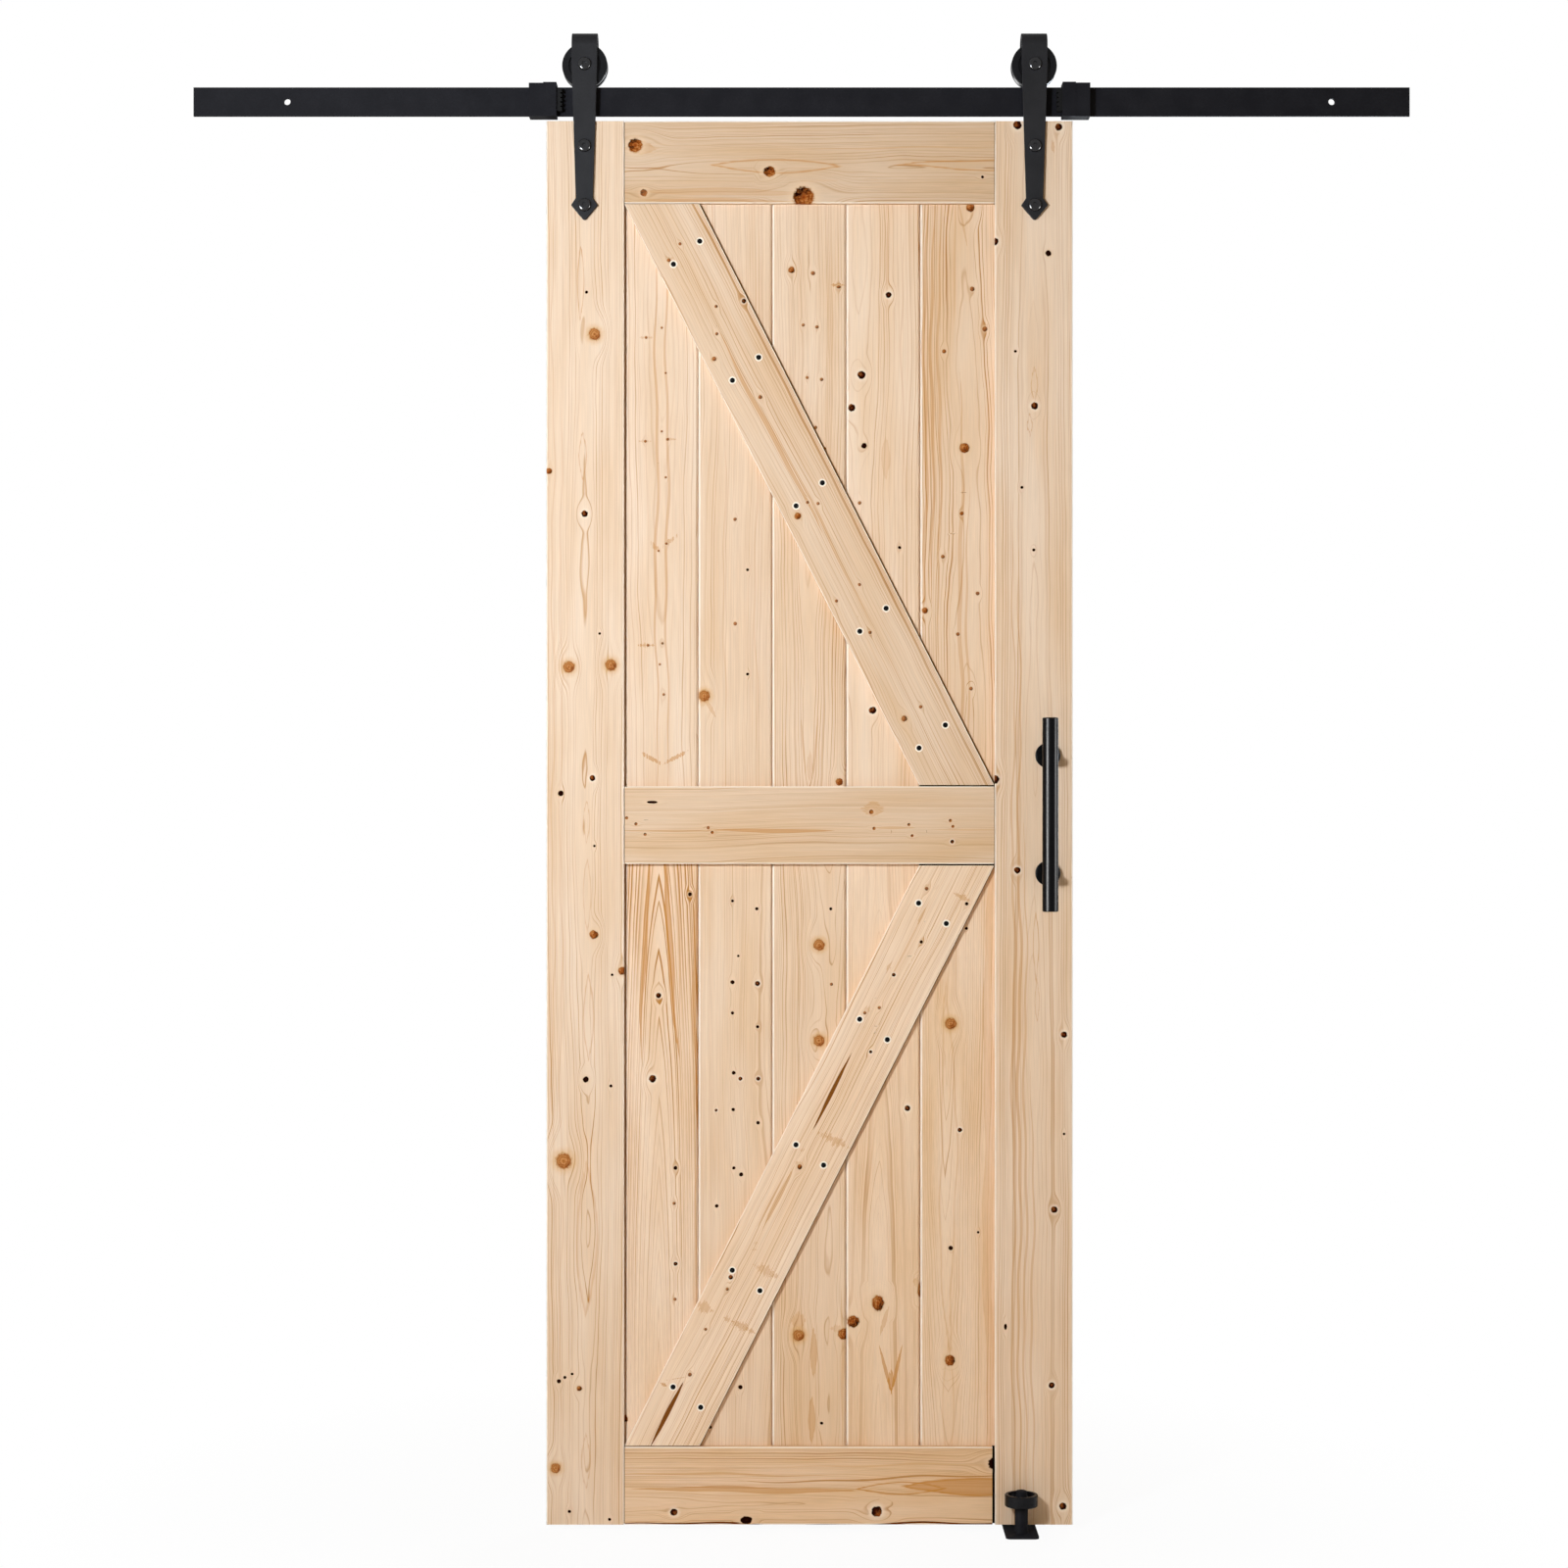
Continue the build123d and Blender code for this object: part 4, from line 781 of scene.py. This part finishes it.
def make_screws(name, centres):
    """Screw heads on a face: height over the face is a low dome less a cross-shaped recess, on a grid of radius and
    angle, with a rim and a foot disc that close it."""
    shares = np.array([0.0, 0.12, 0.25, 0.4, 0.55, 0.7, 0.85, 0.95, 1.0, 1.0])
    angles = np.linspace(0, 2 * np.pi, 24, endpoint=False)
    share, angle = np.meshgrid(shares, angles, indexing="ij")
    x = SCREW_R * share * np.cos(angle)
    z = SCREW_R * share * np.sin(angle)
    arm = np.minimum(np.abs(x), np.abs(z)) < 0.5
    height = SCREW_PROUD * (1 - 0.5 * share ** 4) - SCREW_RECESS * (arm & (share < 0.6))
    height[-1] = 0.0
    one = np.stack((x, -height, z), axis=-1).reshape(-1, 3)
    points = (centres[:, None, :] + one[None]).reshape(-1, 3)
    rows, spokes = share.shape
    row = np.arange(rows - 1)[:, None] * spokes
    here = np.arange(spokes)[None, :]
    after = (here + 1) % spokes
    quad = np.stack((row + here, row + here + spokes, row + after + spokes, row + after), axis=-1).reshape(-1, 4)
    quads = (np.arange(len(centres))[:, None, None] * len(one) + quad[None]).reshape(-1, 4)
    foot = np.arange(rows * spokes - spokes, rows * spokes)
    caps = [(index * len(one) + foot).tolist() for index in range(len(centres))]
    put_mesh(name, points, quads, caps, np.zeros(len(quads), bool), "door", SCREW_BLACK)


def make_seats(name, centres):
    """Rings of raised fibre that the screws pushed up: a low three-sided ring round each screw, its profile carried
    round a circle. Their paleness is the painted arris highlight, given over the whole ring."""
    reach = np.array((SCREW_R - 0.4, SCREW_R + 0.2, SCREW_R + SEAT_WIDTH))
    proud = np.array((0.0, SEAT_PROUD, 0.0))
    angles = np.linspace(0, 2 * np.pi, 24, endpoint=False)
    x = reach[:, None] * np.cos(angles)
    z = reach[:, None] * np.sin(angles)
    one = np.stack((x, np.broadcast_to(-proud[:, None], x.shape), z), axis=-1).reshape(-1, 3)
    points = (centres[:, None, :] + one[None]).reshape(-1, 3)
    spokes = len(angles)
    row = np.arange(3)[:, None] * spokes
    outer = (row + spokes) % len(one)
    here = np.arange(spokes)[None, :]
    after = (here + 1) % spokes
    quad = np.stack((row + here, outer + here, outer + after, row + after), axis=-1).reshape(-1, 4)
    quads = (np.arange(len(centres))[:, None, None] * len(one) + quad[None]).reshape(-1, 4)
    ones = np.ones(len(points))
    # The whole ring takes the painted arris highlight, which makes it pale.
    attributes = {"log_mm": points, "figure": np.column_stack((3 * ones, 0 * ones, ones)),
                  "tone": np.column_stack((0 * ones, ones, 1.04 * ones)), "flow": np.column_stack((ones, 0 * ones, 0 * ones))}
    put_mesh(name, points, quads, [], np.zeros(len(quads), bool), "door", SPRUCE, attributes)


def make_slide_blocks():
    """Blocks that carry the guide posts and fill the plate's slots: an outline with round ends carried straight up."""
    width, length, height = SLIDE_BLOCK
    turn = np.linspace(0, 2 * np.pi, 32, endpoint=False)
    x = width / 2 * np.cos(turn)
    y = width / 2 * np.sin(turn) + (length - width) / 2 * np.sign(np.sin(turn).round(6))
    count = len(turn)
    here = np.arange(count)
    after = (here + 1) % count
    quads = np.column_stack((here, after, after + count, here + count))
    caps = [list(range(count))[::-1], list(range(count, 2 * count))]
    for place in ("front", "back"):
        middle = np.mean(box_mm(place + "_guide_post"), axis=0)
        foot = FLOOR_Z + SLIDE_BLOCK_LIFT
        rings = [np.column_stack((middle[0] + x, middle[1] + y, np.full(count, level))) for level in (foot, foot + height)]
        put_mesh(place + "_guide_slide_block", np.concatenate(rings), quads, caps, np.zeros(count, bool), "track",
                 POWDER_COAT)


def dress(names, material):
    """Gives carried-over nodes a material."""
    for name in names:
        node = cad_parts[name]
        if not node.material_slots:
            node.data.materials.append(material)
        for slot in node.material_slots:
            slot.material = material


def add_lamp(name, offset, size, power, target):
    """An area lamp `offset` metres from the target and turned to it."""
    lamp = bpy.data.lights.new(name, "AREA")
    lamp.shape = "RECTANGLE"
    lamp.size, lamp.size_y = size
    lamp.energy = power
    piece = bpy.data.objects.new(name, lamp)
    piece.location = target + Vector(offset)
    piece.rotation_euler = (target - piece.location).to_track_quat("-Z", "Y").to_euler()
    piece.visible_camera = False
    bpy.context.scene.collection.objects.link(piece)
    return piece


def shown_white(tree):
    """One where the camera, a gloss or a clear body looks straight at the backdrop, and nought for light that falls on
    the door."""
    path = add(tree, "LightPath").outputs
    seen = add(tree, "Math", {0: path["Is Camera Ray"], 1: path["Is Glossy Ray"]}, operation="MAXIMUM").outputs[0]
    return add(tree, "Math", {0: seen, 1: path["Is Transmission Ray"]}, operation="MAXIMUM").outputs[0]


def make_stage():
    """A pale floor that fades to white, lamps, and the camera at the photograph's place."""
    reach = 6.0
    middle = Vector((VIEW_RIGHT_OF_ORIGIN * MM, 0.0, FLOOR_Z * MM))
    mesh = bpy.data.meshes.new("floor")
    corners = [(-reach, -reach, 0), (reach, -reach, 0), (reach, reach, 0), (-reach, reach, 0)]
    mesh.from_pydata([tuple(middle + Vector(corner)) for corner in corners], [], [(0, 1, 2, 3)])
    floor = bpy.data.objects.new("floor", mesh)
    bpy.context.scene.collection.objects.link(floor)
    material, tree = new_material("pale_floor")
    place = add(tree, "TexCoord").outputs["Object"]
    away = add(tree, "VectorMath", {0: place, 1: tuple(middle)}, operation="DISTANCE").outputs["Value"]
    fade = add(tree, "MapRange", {"Value": away, "From Min": 0.5, "From Max": 1.2, "To Min": 0.94, "To Max": 1.0}).outputs[0]
    share = add(tree, "Math", {0: shown_white(tree), 1: fade}, operation="MULTIPLY").outputs[0]
    matt = add(tree, "BsdfDiffuse", {"Color": linear("#F4F4F4")}).outputs[0]
    white = add(tree, "Emission", {"Color": (1, 1, 1, 1), "Strength": 1.0}).outputs[0]
    mixed = add(tree, "MixShader", {0: share, 1: matt, 2: white}).outputs[0]
    add(tree, "OutputMaterial", {0: mixed})
    mesh.materials.append(material)

    world = bpy.data.worlds.new("studio")
    world.use_nodes = True
    tree = world.node_tree
    tree.nodes.clear()
    level = add(tree, "Mix", {0: shown_white(tree), 6: (*FILL, 1), 7: (1, 1, 1, 1)}, data_type="RGBA").outputs[2]
    sky = add(tree, "Background", {"Color": level, "Strength": 1.0}).outputs[0]
    add(tree, "OutputWorld", {0: sky})
    bpy.context.scene.world = world

    target = Vector((VIEW_RIGHT_OF_ORIGIN, DOOR_FRONT, VIEW_HEIGHT)) * MM
    key = add_lamp("key", KEY_OFFSET, (KEY_SIZE, KEY_SIZE), KEY_POWER, target)
    key.data.shape = "ELLIPSE"
    key.data.color = KEY_TINT
    back = add_lamp("back", BACK_OFFSET, (BACK_SIZE, BACK_SIZE), BACK_POWER, target)
    back.data.color = KEY_TINT
    for name, offset, power in STRIPS:
        strip = add_lamp(name, offset, STRIP_SIZE, power, target)
        strip.visible_diffuse = False

    lens = bpy.data.cameras.new("camera")
    lens.sensor_width = SENSOR_WIDTH
    lens.lens = SENSOR_WIDTH * VIEW_BEFORE_DOOR / VIEW_FRAME_WIDTH
    camera = bpy.data.objects.new("camera", lens)
    camera.location = Vector((VIEW_RIGHT_OF_ORIGIN, DOOR_FRONT - VIEW_BEFORE_DOOR, VIEW_HEIGHT)) * MM
    camera.rotation_euler = (np.pi / 2, 0, 0)
    bpy.context.scene.collection.objects.link(camera)
    bpy.context.scene.camera = camera


# Light: a small cool lamp high on the left, an even warm fill that tints the shadows, a broad lamp behind for the back,
# and two upright strips that only show as gloss on the black parts. On the face, lamp and fill add up to white.
FILL = (0.27, 0.2, 0.11)
KEY_SIZE = 0.36
KEY_POWER = 72.8
KEY_TINT = (0.805, 0.89, 1.0)
KEY_OFFSET = (-1.15, -2.5, 0.8)
BACK_SIZE = 1.6
BACK_POWER = 56.0
BACK_OFFSET = (1.4, 2.6, 0.6)
STRIP_SIZE = (1.1, 0.9)
STRIPS = (("left_strip", (-1.7, -1.9, -0.06), 420.0), ("right_strip", (2.6, -0.5, -0.06), 120.0))

SPRUCE = knotty_spruce()
POWDER_COAT = black_finish("black_powder_coat", "#19191D", "#232327", 0.62, 0.02, 1.4, 0.05)
STRAP_COAT = black_finish("black_strap_coat", "#222224", "#2B2B2D", 0.5, 0.05, 1.6, 0.05)
SATIN_TUBE = black_finish("satin_black_tube", "#050506", "#09090B", 0.28, 0.05, 2.0, 0.01)
BOLT_BLACK = black_finish("black_oxide_bolt", "#131315", "#1B1B1D", 0.18, 0.32, 1.0, 0.02)
SCREW_BLACK = black_finish("black_wood_screw", "#050404", "#0A0908", 0.5, 0.03, 0.8, 0.02)
NYLON = black_finish("black_nylon", "#0C0C0E", "#141417", 0.28, 0.1, 1.2, 0.02)
RUBBER = black_finish("black_rubber", "#0C0C0D", "#151516", 0.75, 0.05, 0.9, 0.06)

make_stiles()
make_rails()
make_planks()
make_braces()
make_slide_blocks()
SIDES = ("left", "right")
dress(["track_rail", "floor_guide_plate", "front_guide_post", "back_guide_post"], POWDER_COAT)
dress([side + name for side in SIDES for name in ("_wall_spacer", "_stop_clamp")], POWDER_COAT)
dress([side + "_hanger_strap" for side in SIDES], STRAP_COAT)
dress([side + name for side in SIDES for name in ("_axle_bolt", "_upper_hanger_bolt", "_lower_hanger_bolt")], BOLT_BLACK)
dress(["pull_bar", "upper_pull_post", "lower_pull_post"], SATIN_TUBE)
dress([side + "_wheel" for side in SIDES] + ["front_guide_roller", "back_guide_roller"], NYLON)
dress([side + "_stop_bumper" for side in SIDES], RUBBER)
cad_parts["pull_bar"].visible_shadow = False
make_stage()
bpy.context.scene.view_settings.view_transform = "Standard"
